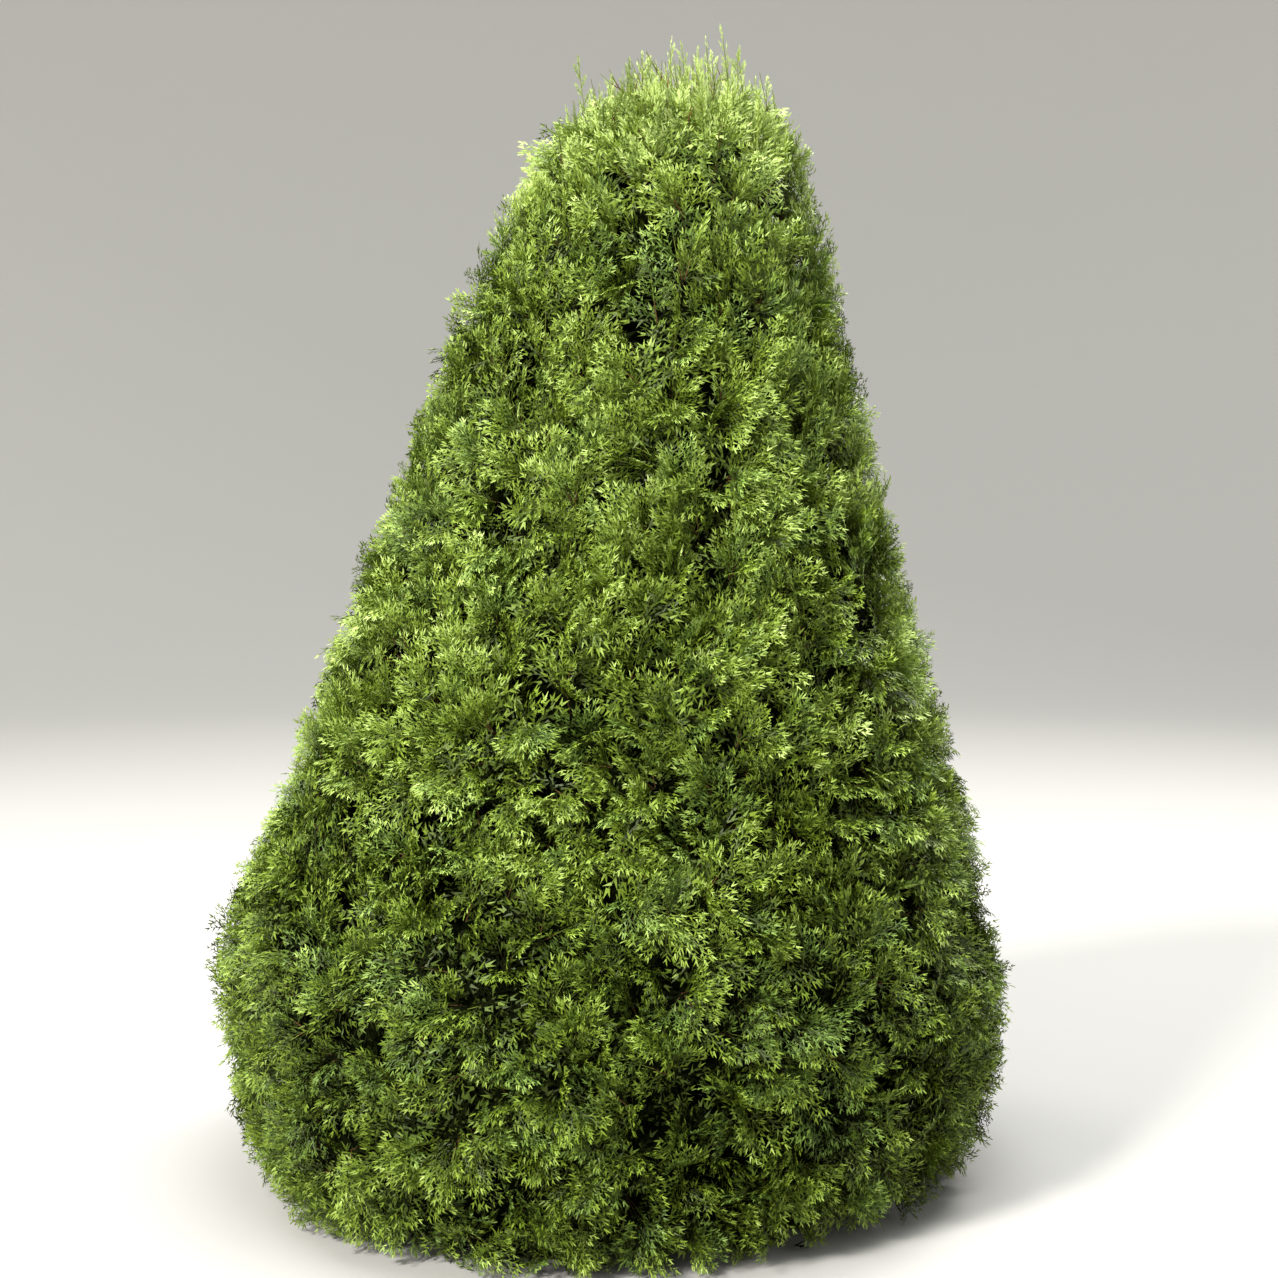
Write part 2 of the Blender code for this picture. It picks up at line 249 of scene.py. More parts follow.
def strips_group():
    """Long fibrous strips: a mask of light and dark bark, how high each place stands, and its weather."""
    numbers = [("Strip width", 0.012), ("Strip length", 0.16), ("Fibre width", 0.0022)]
    outputs = [("Tone", "NodeSocketFloat"), ("Height", "NodeSocketFloat"), ("Weather", "NodeSocketFloat")]
    group, given, out = new_group("bark_strips", numbers, outputs)
    group.interface.new_socket("Place", in_out="INPUT", socket_type="NodeSocketVector")
    place, length = given.outputs["Place"], given.outputs["Strip length"]

    def stretched_noise(width, detail, rough, distortion):
        """Noise at a place that is measured in strips, across and along."""
        strip = add_node(group, "CombineXYZ", {"X": width, "Y": width, "Z": length})
        cell = add_node(group, "VectorMath", {0: place, 1: strip.outputs[0]}, operation="DIVIDE")
        look = {"Scale": 1.0, "Detail": detail, "Roughness": rough, "Distortion": distortion}
        return add_node(group, "TexNoise", {"Vector": cell.outputs[0], **look}).outputs["Fac"]

    strips = stretched_noise(given.outputs["Strip width"], detail=3.0, rough=0.55, distortion=0.35)
    fibres = stretched_noise(given.outputs["Fibre width"], detail=2.0, rough=0.5, distortion=0.1)
    ridges = {"Value": strips, "From Min": 0.36, "From Max": 0.60}
    tone = add_node(group, "MapRange", ridges, interpolation_type="SMOOTHSTEP").outputs["Result"]
    relief = add_node(group, "Math", {0: fibres, 1: FIBRE_RELIEF, 2: tone}, operation="MULTIPLY_ADD")
    weather = add_node(group, "TexNoise", {"Vector": place, "Scale": 9.0, "Detail": 3.0})
    group.links.new(tone, out.inputs["Tone"])
    group.links.new(relief.outputs[0], out.inputs["Height"])
    group.links.new(weather.outputs["Fac"], out.inputs["Weather"])
    return group


STRIPS = strips_group()
puts_out = [socket.name for socket in STRIPS.interface.items_tree if socket.in_out == "OUTPUT"]
print("group", STRIPS.name, "puts out", puts_out)

# %% Mix each wood from the strips
PLACE = "place_on_limb"
WOOD_GLOSS, WOOD_BUMP, GROOVES_ROUGHER = 0.15, 0.7, 0.08
MIX_FROM, MIX_TO, MIXED = 6, 7, 2  # the colour sockets of a Mix node


def wood_material(name, groove, strip, weathered, sizes, relief, rough, along_limb=False):
    """Wood with bark: dark grooves, lighter strips, and grey weather in patches."""
    material = bpy.data.materials.new(name)
    material.use_nodes = True
    tree = material.node_tree
    shader = tree.nodes["Principled BSDF"]
    shader.inputs["Specular IOR Level"].default_value = WOOD_GLOSS
    if along_limb:
        place = add_node(tree, "Attribute", {}, attribute_name=PLACE).outputs["Vector"]
    else:
        place = add_node(tree, "TexCoord", {}).outputs["Object"]
    pattern = add_node(tree, "Group", {"Place": place, **sizes}, node_tree=STRIPS).outputs
    fresh = {"Factor": pattern["Tone"], MIX_FROM: (*groove, 1.0), MIX_TO: (*strip, 1.0)}
    fresh_bark = add_node(tree, "Mix", fresh, data_type="RGBA").outputs[MIXED]
    patches = {"Value": pattern["Weather"], "From Min": 0.45, "From Max": 0.75, "To Max": 0.7}
    share = add_node(tree, "MapRange", patches).outputs["Result"]
    aged = {"Factor": share, MIX_FROM: fresh_bark, MIX_TO: (*weathered, 1.0)}
    aged_bark = add_node(tree, "Mix", aged, data_type="RGBA").outputs[MIXED]
    dull = {"Value": pattern["Tone"], "To Min": rough + GROOVES_ROUGHER, "To Max": rough - GROOVES_ROUGHER}
    roughness = add_node(tree, "MapRange", dull).outputs["Result"]
    raised = {"Height": pattern["Height"], "Strength": WOOD_BUMP, "Distance": relief}
    tree.links.new(aged_bark, shader.inputs["Base Color"])
    tree.links.new(roughness, shader.inputs["Roughness"])
    tree.links.new(add_node(tree, "Bump", raised).outputs["Normal"], shader.inputs["Normal"])
    return material


BARK = wood_material(
    "stringy_bark",
    groove=(0.055, 0.030, 0.018),
    strip=(0.24, 0.15, 0.095),
    weathered=(0.27, 0.235, 0.20),
    sizes={"Strip width": 0.012, "Strip length": 0.16, "Fibre width": 0.0022},
    relief=0.002,
    rough=0.86,
)
BRANCH_WOOD = wood_material(
    "young_bark",
    groove=(0.050, 0.022, 0.010),
    strip=(0.200, 0.085, 0.032),
    weathered=(0.150, 0.100, 0.062),
    sizes={"Strip width": 0.005, "Strip length": 0.07, "Fibre width": 0.0012},
    relief=0.0008,
    rough=0.78,
    along_limb=True,
)
print("woods", BARK.name, BRANCH_WOOD.name)

# %% [markdown]
# ## The trunk
#
# The trunk stands on a foot that flares into root ridges, tapers all the way up and leans to one side
# near the top. A cylinder would have to be bent and pinched afterwards, so it starts as one circle on the
# ground that is extruded upward, ring by ring, and moved and scaled at each step. A weight map then tells
# a Displace modifier where the root ridges swell, and a second one presses the bark's strips in. Its
# pattern is read through an empty that is stretched upward, so that the strips come out long.

# %% Helpers for modelling by hand
def nothing_selected():
    """Leaves edit mode, and leaves nothing selected."""
    if bpy.context.mode != "OBJECT":
        bpy.ops.object.mode_set(mode="OBJECT")
    bpy.ops.object.select_all(action="DESELECT")


SMALLEST_TURN = 1e-5


def turn_selected(old, new, middle):
    """Turns what is selected from facing the old way to facing the new one, about a middle."""
    spin = old.rotation_difference(new).to_euler()
    for value, axis in ((spin.x, "X"), (spin.y, "Y"), (spin.z, "Z")):
        if abs(value) > SMALLEST_TURN:  # with no window the operator turns the other way
            bpy.ops.transform.rotate(
                value=-value, orient_axis=axis, orient_type="GLOBAL", center_override=middle
            )


def extruded_tube(name, path, radii, sides, level=False):
    """A closed tube: a circle extruded and scaled along a path, and turned with it unless it is level."""
    nothing_selected()
    facing = UP if level else (path[1] - path[0]).normalized()
    bpy.ops.mesh.primitive_circle_add(
        vertices=sides,
        radius=radii[0],
        fill_type="NGON",
        location=path[0],
        rotation=facing.to_track_quat("Z", "Y").to_euler(),
    )
    tube = bpy.context.object
    tube.name = tube.data.name = name
    bpy.ops.object.transform_apply(location=True, rotation=True, scale=True)
    bpy.ops.object.mode_set(mode="EDIT")
    bpy.ops.mesh.select_all(action="SELECT")
    for i in range(1, len(path)):
        bpy.ops.mesh.extrude_region_move(TRANSFORM_OT_translate={"value": path[i] - path[i - 1]})
        ratio = radii[i] / radii[i - 1]
        bpy.ops.transform.resize(value=(ratio, ratio, ratio), center_override=path[i])
        if not level:
            ahead = (path[min(i + 1, len(path) - 1)] - path[i - 1]).normalized()
            turn_selected(facing, ahead, path[i])
            facing = ahead
    bpy.ops.mesh.select_all(action="SELECT")
    bpy.ops.mesh.subdivide(number_cuts=1)
    bpy.ops.mesh.normals_make_consistent(inside=False)
    bpy.ops.object.mode_set(mode="OBJECT")
    return tube


def press_strips(piece, width, length, strength):
    """Presses long strips of bark into a piece with a Displace modifier, through a stretched empty."""
    bpy.ops.object.empty_add(location=(0.0, 0.0, 0.0))
    stretch = bpy.context.object
    stretch.scale = (width, width, length)
    texture = bpy.data.textures.new(f"{piece.name}_strips", "CLOUDS")
    texture.noise_scale = 1.0
    texture.noise_depth = 2
    texture.contrast = 1.6
    push = piece.modifiers.new("strips", "DISPLACE")
    push.texture = texture
    push.texture_coords = "OBJECT"
    push.texture_coords_object = stretch
    push.strength = strength
    push.mid_level = 0.5
    if piece.vertex_groups.get("relief"):
        push.vertex_group = "relief"
    bpy.context.view_layer.objects.active = piece
    bpy.ops.object.modifier_apply(modifier=push.name)
    bpy.data.objects.remove(stretch)


def finished_wood(piece, material, slot, *nodes):
    """Shades a wooden piece, gives it its material and lets it stand for its nodes."""
    nothing_selected()
    piece.select_set(True)
    bpy.context.view_layer.objects.active = piece
    bpy.ops.object.shade_smooth()
    piece.data.materials.clear()
    piece.data.materials.append(material)
    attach(piece, BODY)
    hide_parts(*nodes)
    print(piece.name, "has", len(piece.data.polygons), "faces")


# %% Model the trunk
TRUNK_TOP, TRUNK_FOOT_RADIUS, TRUNK_TIP_RADIUS, TRUNK_TAPER = 2.200, 0.046, 0.006, 0.9
FLARE, FLARE_HEIGHT = 0.026, 0.055
ROOT_RIDGES, RIDGE_DEPTH, RIDGE_BEARING = 5, 0.45, 0.7
TRUNK_SIDES, TRUNK_STEP = 36, 0.025


def trunk_radius(height):
    """The trunk's radius above its root flare."""
    share = min(1.0, height / TRUNK_TOP)
    return TRUNK_FOOT_RADIUS + (TRUNK_TIP_RADIUS - TRUNK_FOOT_RADIUS) * share**TRUNK_TAPER


def root_swell(vertex):
    """How much of the root flare shows at a vertex, from 0 to 1."""
    level = vertex.co - trunk_axis(vertex.co.z)
    angle = math.atan2(level.y, level.x)
    ridge = (1.0 + RIDGE_DEPTH * math.cos(ROOT_RIDGES * angle + RIDGE_BEARING)) / (1.0 + RIDGE_DEPTH)
    return math.exp(-vertex.co.z / FLARE_HEIGHT) * ridge


def relief_weight(vertex):
    """How deep the strips are pressed in at a vertex: not at the cut, and less where the trunk is thin."""
    above_cut = min(1.0, vertex.co.z / TRUNK_STEP)
    return above_cut * trunk_radius(vertex.co.z) / TRUNK_FOOT_RADIUS


def weighted(piece, name, weight):
    """A vertex group whose weight at each vertex comes from a function."""
    group = piece.vertex_groups.new(name=name)
    for vertex in piece.data.vertices:
        group.add([vertex.index], weight(vertex), "REPLACE")


trunk_steps = [TRUNK_STEP * n for n in range(round(TRUNK_TOP / TRUNK_STEP) + 1)]
trunk = extruded_tube(
    "trunk_with_bark",
    [trunk_axis(height) for height in trunk_steps],
    [trunk_radius(height) for height in trunk_steps],
    TRUNK_SIDES,
    level=True,
)
weighted(trunk, "roots", root_swell)
weighted(trunk, "relief", relief_weight)
swell = trunk.modifiers.new("roots", "DISPLACE")
swell.vertex_group = "roots"
swell.strength = FLARE * (1.0 + RIDGE_DEPTH)
swell.mid_level = 0.0
bpy.context.view_layer.objects.active = trunk
bpy.ops.object.modifier_apply(modifier=swell.name)
for vertex in trunk.data.vertices:
    if vertex.co.z < TRUNK_STEP / 4:
        vertex.co.z = 0.0  # the swelling tips the foot's rim, and the cut stays flat
press_strips(trunk, width=0.011, length=0.17, strength=0.006)
finished_wood(trunk, BARK, "bark", "trunk")

# %% [markdown]
# ## Boughs and stems
#
# In the lower crown each mass hangs on a bough that leaves the trunk below it, runs out and bends up.
# Higher up the limbs are thin and short. They are modelled like the trunk, as extruded circles, along a
# curve with one bend, and swell a little where they join it. Limbs point every way, so a pattern in the
# object's own axes would run across some of them. Each limb therefore keeps its own place for every
# vertex, across and along the wood, as an attribute that the branch wood reads.

# %% Grow the limbs
BOUGH_DROP, STEM_DROP, LOWEST_LIMB, LIMB_STAGGER, HALFWAY_RISE = 0.26, 0.16, 0.10, 0.03, 0.3
BOUGH_RADII, STEM_RADII, LEADER_RADII = (0.014, 0.0070), (0.0085, 0.0055), (0.0062, 0.0045)
COLLAR, COLLAR_REACH = 0.45, 0.16
LIMB_STEPS, LIMB_SIDES = 12, 9
NO_LENGTH = 1e-9


def limb_path(name, tier, number, middle):
    """A line that rises from the trunk's axis, steeper as it goes, to the middle of a mass."""
    if name == LEADER:
        foot = trunk_axis(TRUNK_TOP - TRUNK_STEP)
        return [foot.lerp(middle, n / LIMB_STEPS) for n in range(LIMB_STEPS + 1)]
    drop = BOUGH_DROP if tier <= BOUGH_TIERS else STEM_DROP
    foot = trunk_axis(max(LOWEST_LIMB, middle.z - drop) + LIMB_STAGGER * (number % 3))
    rise = UP * (middle.z - foot.z)
    level = middle - foot - rise
    bend = foot + level / 2 + rise * HALFWAY_RISE
    shares = [n / LIMB_STEPS for n in range(LIMB_STEPS + 1)]
    return [foot * (1 - t) ** 2 + bend * 2 * t * (1 - t) + middle * t**2 for t in shares]


def limb_radii(foot, tip):
    """The limb's radius at each step: an even taper, with a collar where it joins the trunk."""
    shares = [n / LIMB_STEPS for n in range(LIMB_STEPS + 1)]
    return [(foot + (tip - foot) * t) * (1.0 + COLLAR * math.exp(-t / COLLAR_REACH)) for t in shares]


def keep_place(piece, path):
    """Stores where each vertex lies on its limb: across it in two directions, and along it."""
    starts = np.array(path[:-1])
    steps = np.array(path[1:]) - starts
    lengths = np.linalg.norm(steps, axis=1)
    before = np.concatenate(([0.0], np.cumsum(lengths)[:-1]))
    points = np.empty(len(piece.data.vertices) * 3)
    piece.data.vertices.foreach_get("co", points)
    points = points.reshape(-1, 3)
    share = np.einsum("vsk,sk->vs", points[:, None] - starts[None], steps) / lengths**2
    share = np.clip(share, 0.0, 1.0)
    apart = points[:, None] - (starts[None] + steps[None] * share[..., None])
    nearest = np.linalg.norm(apart, axis=2).argmin(axis=1)
    rows = np.arange(len(points))
    off = apart[rows, nearest]
    along = before[nearest] + share[rows, nearest] * lengths[nearest]
    across = np.cross(steps[nearest], (0.0, 0.0, 1.0))
    across /= np.linalg.norm(across, axis=1, keepdims=True) + NO_LENGTH
    rising = np.cross(across, steps[nearest] / lengths[nearest][:, None])
    place = np.column_stack(((off * across).sum(1), (off * rising).sum(1), along))
    kept = piece.data.attributes.new(PLACE, "FLOAT_VECTOR", "POINT")
    kept.data.foreach_set("vector", place.ravel())


LIMBS = {name: limb_path(name, tier, number, middle) for name, tier, number, middle, _ in SITES}
made_limbs = {}
for name, tier, _, _, _ in SITES:
    radii = BOUGH_RADII if tier <= BOUGH_TIERS else LEADER_RADII if name == LEADER else STEM_RADII
    limb = extruded_tube(name.replace("foliage", "limb"), LIMBS[name], limb_radii(*radii), LIMB_SIDES)
    keep_place(limb, LIMBS[name])
    made_limbs.setdefault(min(tier, BOUGH_TIERS + 1), []).append(limb)
for tier, limbs in made_limbs.items():
    nothing_selected()
    for limb in limbs:
        limb.select_set(True)
    bpy.context.view_layer.objects.active = limbs[0]
    bpy.ops.object.join()
    joined = bpy.context.object
    joined.name = joined.data.name = f"boughs_{tier}" if tier <= BOUGH_TIERS else "stems"
    press_strips(joined, width=0.009, length=0.022, strength=0.0022)
    carried = [name for name in frame["nodes"] if name.startswith(f"bough_{tier}_")]
    finished_wood(joined, BRANCH_WOOD, "branch_wood", *carried)

# %% [markdown]
# ## Two fingers of scale leaves
#
# The smallest thing that still shows is a finger: a short, flat shoot 10 to 15 mm long, wrapped in scale
# leaves. Those at the sides of a shoot look pointed, and the growing one at its end is blunt. Each is
# drawn once as an outline of three or four corners with a wide foot, so that it seems to come out of its
# stem, then filled, bent down a little and cut into triangles. What repeats thousands of times has to
# stay this light.

# %% Draw the fingers
# Across and along, for one unit of width and length, round the outline
POINTED_OUTLINE = ((-0.5, 0.0), (0.5, 0.0), (0.0, 1.0))
BLUNT_OUTLINE = ((-0.40, 0.0), (0.40, 0.0), (0.42, 0.70), (-0.08, 1.0))
TIP_CURL = 0.12


def cut_finger(name, outline):
    """A flat finger from its outline: its points and its triangles."""
    nothing_selected()
    bpy.ops.mesh.primitive_circle_add(vertices=len(outline), fill_type="NGON")
    finger = bpy.context.object
    for vertex, (across, along) in zip(finger.data.vertices, outline):
        vertex.co = (across, along, -TIP_CURL * along * along)
    bpy.ops.object.mode_set(mode="EDIT")
    bpy.ops.mesh.select_all(action="SELECT")
    bpy.ops.mesh.quads_convert_to_tris(quad_method="SHORTEST_DIAGONAL")
    bpy.ops.object.mode_set(mode="OBJECT")
    points = np.array([vertex.co for vertex in finger.data.vertices])
    faces = np.array([face.vertices for face in finger.data.polygons])
    bpy.data.objects.remove(finger)
    print("the", name, "finger has", len(faces), "triangles")
    return SimpleNamespace(points=points, faces=faces)


POINTED = cut_finger("pointed", POINTED_OUTLINE)
BLUNT = cut_finger("blunt", BLUNT_OUTLINE)

# %% [markdown]
# ## Sprays
#
# Fingers stand alternately on side shoots, and side shoots on an axis, all in one plane: that is the
# fern-like spray, deep green along its axis and fresher towards its edge. Drawing each of thousands by
# hand is out of the question, and a picture of one on a flat card would look like paper. So a few
# different sprays are put together from the fingers as small meshes, one unit long, a little domed, and
# later each is planted many times. There are full ones for the outside of the crown, slim ones for its
# growing top, plain ones behind them, and coarse ones that fill the shade.

# %% Lay stems and fingers in a plane
def add_part(spray, points, faces, step):
    """Adds points and faces to a spray, all of them one step of green."""
    spray.faces.append(np.asarray(faces) + spray.size)
    spray.points.append(points)
    spray.steps.append(np.full(len(faces), step))
    spray.size += len(points)


def heading(angle):
    """The direction in the plane at an angle from straight ahead."""
    return np.array((math.sin(angle), math.cos(angle)))


def add_stem(spray, start, end, width, step):
    """A thin flat stem in the plane: one long triangle."""
    way = (end - start) / np.linalg.norm(end - start)
    across = np.array((way[1], -way[0])) * width
    corners = [start - across, start + across, end]
    add_part(spray, np.array([(x, y, 0.0) for x, y in corners]), [(0, 1, 2)], step)


def add_finger(spray, finger, root, angle, length, width, roll, step):
    """A finger that stands at a place in the plane, turned by an angle and rolled about its own line."""
    points = finger.points * (width, length, length)
    x = points[:, 0] * math.cos(roll) - points[:, 2] * math.sin(roll)
    z = points[:, 0] * math.sin(roll) + points[:, 2] * math.cos(roll)
    turned_x = x * math.cos(angle) + points[:, 1] * math.sin(angle)
    turned_y = points[:, 1] * math.cos(angle) - x * math.sin(angle)
    add_part(spray, np.column_stack((root[0] + turned_x, root[1] + turned_y, z)), finger.faces, step)


# %% Put sprays together from fingers
# Greens: how many steps lighter than the spray's darkest one its parts are
INNER, FRESHER_OUTWARD, TIP_STEP, STEP_STRAY = 1, 3.0, 3, 0.6
TIP_STEPS, SHOOT_STEPS = (0, 1), (-1, 0, 0, 1)
# Fingers: the first one's place and the shoot's spare length in gaps, their reach, and how they stray
FIRST_FINGER, SPARE_GAPS, REACH_AT_FOOT, REACH_LOST = 0.9, 0.4, 1.1, 0.35
LEAN_RANGE, REACH_RANGE = (0.8, 1.2), (0.8, 1.15)
FINGER_ROLL, END_ROLL, COARSE_ROLL, TIP_OVERLAP = 0.6, 0.5, 0.4, 0.3
# The axis and its side shoots: how it bends, and how they stand, shorten and open
AXIS_BEND, AXIS_STEM, AXIS_END = 0.12, 1.2, 0.97
SHOOT_STRAY, SHORTEST_SHOOT, SHOOT_RANGE = 0.25, 0.30, (0.68, 1.15)
OPEN_LOST, OPEN_RANGE = 0.35, (0.82, 1.15)
DOME_ACROSS, DOME_MIDDLE = 2.0, 0.35


def add_shoot(spray, style, rng, root, angle, turn, length, step):
    """A side shoot: its stem, pointed fingers to both sides of it, and a lighter one at its end."""
    end = root + heading(angle + turn / 2) * length
    add_stem(spray, root, end, style.stem, step)
    count = round(length / style.gap)
    for k in range(count):
        s = (k + FIRST_FINGER) / (count + SPARE_GAPS)
        lean = style.finger_open * (1 if k % 2 else -1) * rng.uniform(*LEAN_RANGE)
        reach = style.finger * rng.uniform(*REACH_RANGE) * (REACH_AT_FOOT - REACH_LOST * s)
        roll = rng.uniform(-FINGER_ROLL, FINGER_ROLL)
        lighter = round(FRESHER_OUTWARD * s + rng.uniform(-STEP_STRAY, STEP_STRAY))
        place, turned = root + (end - root) * s, angle + turn * s + lean
        add_finger(spray, POINTED, place, turned, reach, style.width, roll, step + lighter)
    tip_root = end - heading(angle + turn) * style.finger * TIP_OVERLAP
    roll = rng.uniform(-END_ROLL, END_ROLL)
    tip_step = step + TIP_STEP + rng.choice(TIP_STEPS)
    add_finger(spray, style.tip, tip_root, angle + turn, style.finger, style.width, roll, tip_step)


def make_spray(rng, style):
    """One spray, one unit long, along +Y: an axis with side shoots, or single fingers, to both sides."""
    spray = SimpleNamespace(points=[], faces=[], steps=[], size=0)
    bend = rng.uniform(-AXIS_BEND, AXIS_BEND)

    def axis(t):
        """Where the axis is at a share of its length."""
        return np.array((bend * t * t, t * style.axis))

    add_stem(spray, axis(0.0), axis(1.0), style.stem * AXIS_STEM, INNER)
    roll = rng.uniform(-END_ROLL, END_ROLL)
    add_finger(spray, style.tip, axis(AXIS_END), bend, style.finger, style.width, roll, INNER + TIP_STEP)
    first = rng.choice((-1, 1))
    for n in range(style.shoots):
        stands = n + rng.uniform(-SHOOT_STRAY, SHOOT_STRAY)
        t = style.bare + (1.0 - style.bare) * stands / style.shoots
        side = first if n % 2 else -first
        swell = math.sin(math.pi * min(1.0, (t + style.fullest) / (1.0 + style.fullest)))
        length = style.longest * max(SHORTEST_SHOOT, swell) * rng.uniform(*SHOOT_RANGE)
        angle = side * style.open * (1.0 - OPEN_LOST * t) * rng.uniform(*OPEN_RANGE)
        if style.gap:
            step = INNER + round(t) + rng.choice(SHOOT_STEPS)
            add_shoot(spray, style, rng, axis(t), angle, -side * style.forward, length, step)
        else:
            roll = rng.uniform(-COARSE_ROLL, COARSE_ROLL)
            add_finger(spray, POINTED, axis(t), angle, length, style.width, roll, INNER)
    points = np.concatenate(spray.points)
    points[:, 2] -= style.dome * (points[:, 0] ** 2 * DOME_ACROSS + (points[:, 1] - DOME_MIDDLE) ** 2)
    faces, steps = np.concatenate(spray.faces), np.concatenate(spray.steps)
    return SimpleNamespace(points=points, faces=faces, steps=steps)


# %% Make a few sprays of each kind
# Lengths and widths are parts of a spray's length, and angles are in radians
FULL = SimpleNamespace(
    axis=0.86, stem=0.017, shoots=6, bare=0.04, longest=0.48, fullest=0.30, open=0.80, forward=0.35,
    gap=0.086, finger=0.168, finger_open=0.80, width=0.047, dome=0.24, tip=BLUNT,
)
SLIM = SimpleNamespace(
    axis=0.88, stem=0.018, shoots=6, bare=0.08, longest=0.30, fullest=0.35, open=0.44, forward=0.15,
    gap=0.070, finger=0.160, finger_open=0.50, width=0.046, dome=0.12, tip=BLUNT,
)
PLAIN = SimpleNamespace(
    axis=0.84, stem=0.022, shoots=6, bare=0.08, longest=0.48, fullest=0.30, open=0.85, forward=0.30,
    gap=0.125, finger=0.190, finger_open=0.75, width=0.066, dome=0.2, tip=POINTED,
)
# A coarse spray has no gap between fingers, because single fingers stand for its side shoots
COARSE = SimpleNamespace(
    axis=0.82, stem=0.034, shoots=9, bare=0.05, longest=0.50, fullest=0.4, open=0.95,
    gap=0.0, finger=0.220, width=0.150, dome=0.15, tip=POINTED,
)
PATTERNS = (("full", FULL, 12), ("slim", SLIM, 8), ("plain", PLAIN, 6), ("coarse", COARSE, 4))
pattern_rng = random.Random(f"{SEED} sprays")
SPRAYS = {kind: [make_spray(pattern_rng, style) for _ in range(count)] for kind, style, count in PATTERNS}
for kind, patterns in SPRAYS.items():
    print(kind, "sprays have", [len(pattern.faces) for pattern in patterns], "faces")

# %% [markdown]
# ## Fronds and branchlets
#
# A branchlet grows from its limb out to the crown's surface and ends in a tuft: a handful of fronds that
# open round it, each with sprays to both sides and one at its tip. The fronds of one tuft sweep the same
# way, as if combed, up towards the top of the crown and every way lower down, and that shows most sprays
# flat on. The imported model's rule gives the places where its branchlets end, and here it is carried on to
# the fronds. A spray stops near the crown's surface, but a few may stand a little proud of its side.
# Sprays in the light are full ones and those deeper in are plain, each darker with its depth as painted
# shade.
# More plain ones stand behind each tuft, and round the branchlet's foot coarse ones painted near black
# close the shade.

# %% Aim the branchlets
# How many a mass has at the foot and the top of the crown, how wide they spread, and how long they are
FANS_LOW, FANS_HIGH, FAN_SPREAD, FIRST_FAN = 14, 9, 1.75, 0.35
FAN_LENGTH, FAN_RANGE = 0.20, (0.85, 1.2)
WALL_GAP, CREASE_DEPTH, CREASE_WIDTH = 0.0015, 0.06, 0.10
RISE_LOW, RISE_HIGH, STRAY = 0.15, 1.10, 0.22


def fan_aims(name, middle, faces, others):
    """The points on the crown's surface that a mass's branchlets reach, spread by the golden angle."""
    side = Vector((0.0, 1.0, 0.0)) if name == LEADER else faces.cross(UP).normalized()
    rise = side.cross(faces)
    first = random.Random(f"{SEED} {name}").uniform(0.0, 2 * math.pi)
    count = round(FANS_LOW + (FANS_HIGH - FANS_LOW) * middle.z / CROWN_TOP)
    for n in range(count):
        spread = FAN_SPREAD * math.sqrt((n + FIRST_FAN) / count)
        turn = first + n * GOLDEN_ANGLE
        way = (faces + (side * math.cos(turn) + rise * math.sin(turn)) * spread).normalized()
        aim = middle + way * surface_distance(middle, way)
        wall = wall_distance(aim, middle, others)
        if wall > WALL_GAP:
            yield aim - way * CREASE_DEPTH * max(0.0, 1.0 - wall / CREASE_WIDTH) ** 2


def fan_growth(point, faces, rng):
    """The way a branchlet grows: outward, straying a little, and more upward the higher it stands."""
    rise = RISE_LOW + RISE_HIGH * (point.z / CROWN_TOP) ** 2
    stray = Vector([rng.uniform(-STRAY, STRAY) for _ in range(3)])
    return (faces + UP * rise + stray).normalized()


AIMS = {}
for name, _, _, middle, faces in SITES:
    others = [site[3] for site in SITES if site[0] != name]
    AIMS[name] = list(fan_aims(name, middle, faces, others))
print(sum(len(aims) for aims in AIMS.values()), "branchlets end as in the packed model")

# %% Comb the fronds
# How hard they are combed, how much of it is up at the top or down at the foot, and how it strays
SWEEP, SWEEP_RISE, SWEEP_DROOP, SWEEP_WANDER = 0.65, 1.6, 0.5, 0.9
SWIRL_FIELD, SWIRLS = 15.0, 3
NEARLY_ALONG = 1e-3


def any_way(rng):
    """A seeded direction, even over the sphere."""
    z, turn = rng.uniform(-1.0, 1.0), rng.uniform(0.0, 2 * math.pi)
    flat = math.sqrt(1.0 - z * z)
    return Vector((flat * math.cos(turn), flat * math.sin(turn), z))


def flat_to(face, along):
    """The part of a facing that is square to a direction."""
    square = face - along * face.dot(along)
    return square.normalized() if square.length > NEARLY_ALONG else along.orthogonal().normalized()


swirl_rng = random.Random(f"{SEED} swirl")
SWIRL_WAVES = [
    [(any_way(swirl_rng) * SWIRL_FIELD, swirl_rng.uniform(0.0, 2 * math.pi)) for _ in range(SWIRLS)]
    for _ in range(3)
]


def swirl_at(point):
    """A direction that changes smoothly over the crown, so that neighbouring fronds lie the same way."""
    return Vector([
        sum(math.sin(wave.dot(point) + phase) for wave, phase in waves)
        for waves in SWIRL_WAVES
    ])


def sweep_at(aim, outward, share, rng):
    """The way the fronds of a tuft are combed, along the crown's surface."""
    upward = UP * (SWEEP_RISE * share - SWEEP_DROOP)
    return flat_to(swirl_at(aim) + any_way(rng) * SWEEP_WANDER + upward, outward) * SWEEP


print(SWIRLS, "waves on each axis comb the fronds")

# %% Measure the room for leaves
DOME_PEAK, DOME_FALL, DOME_SHIFT = 2.442, 1.7, 0.03
SIDE_FINGERS, CLIMBS = 0.018, 0.2


def dome_height(point):
    """How high the rounded top of the crown stands over a point."""
    level = point - trunk_axis(DOME_PEAK)
    return DOME_PEAK - DOME_FALL * ((level.x - DOME_SHIFT) ** 2 + level.y**2)


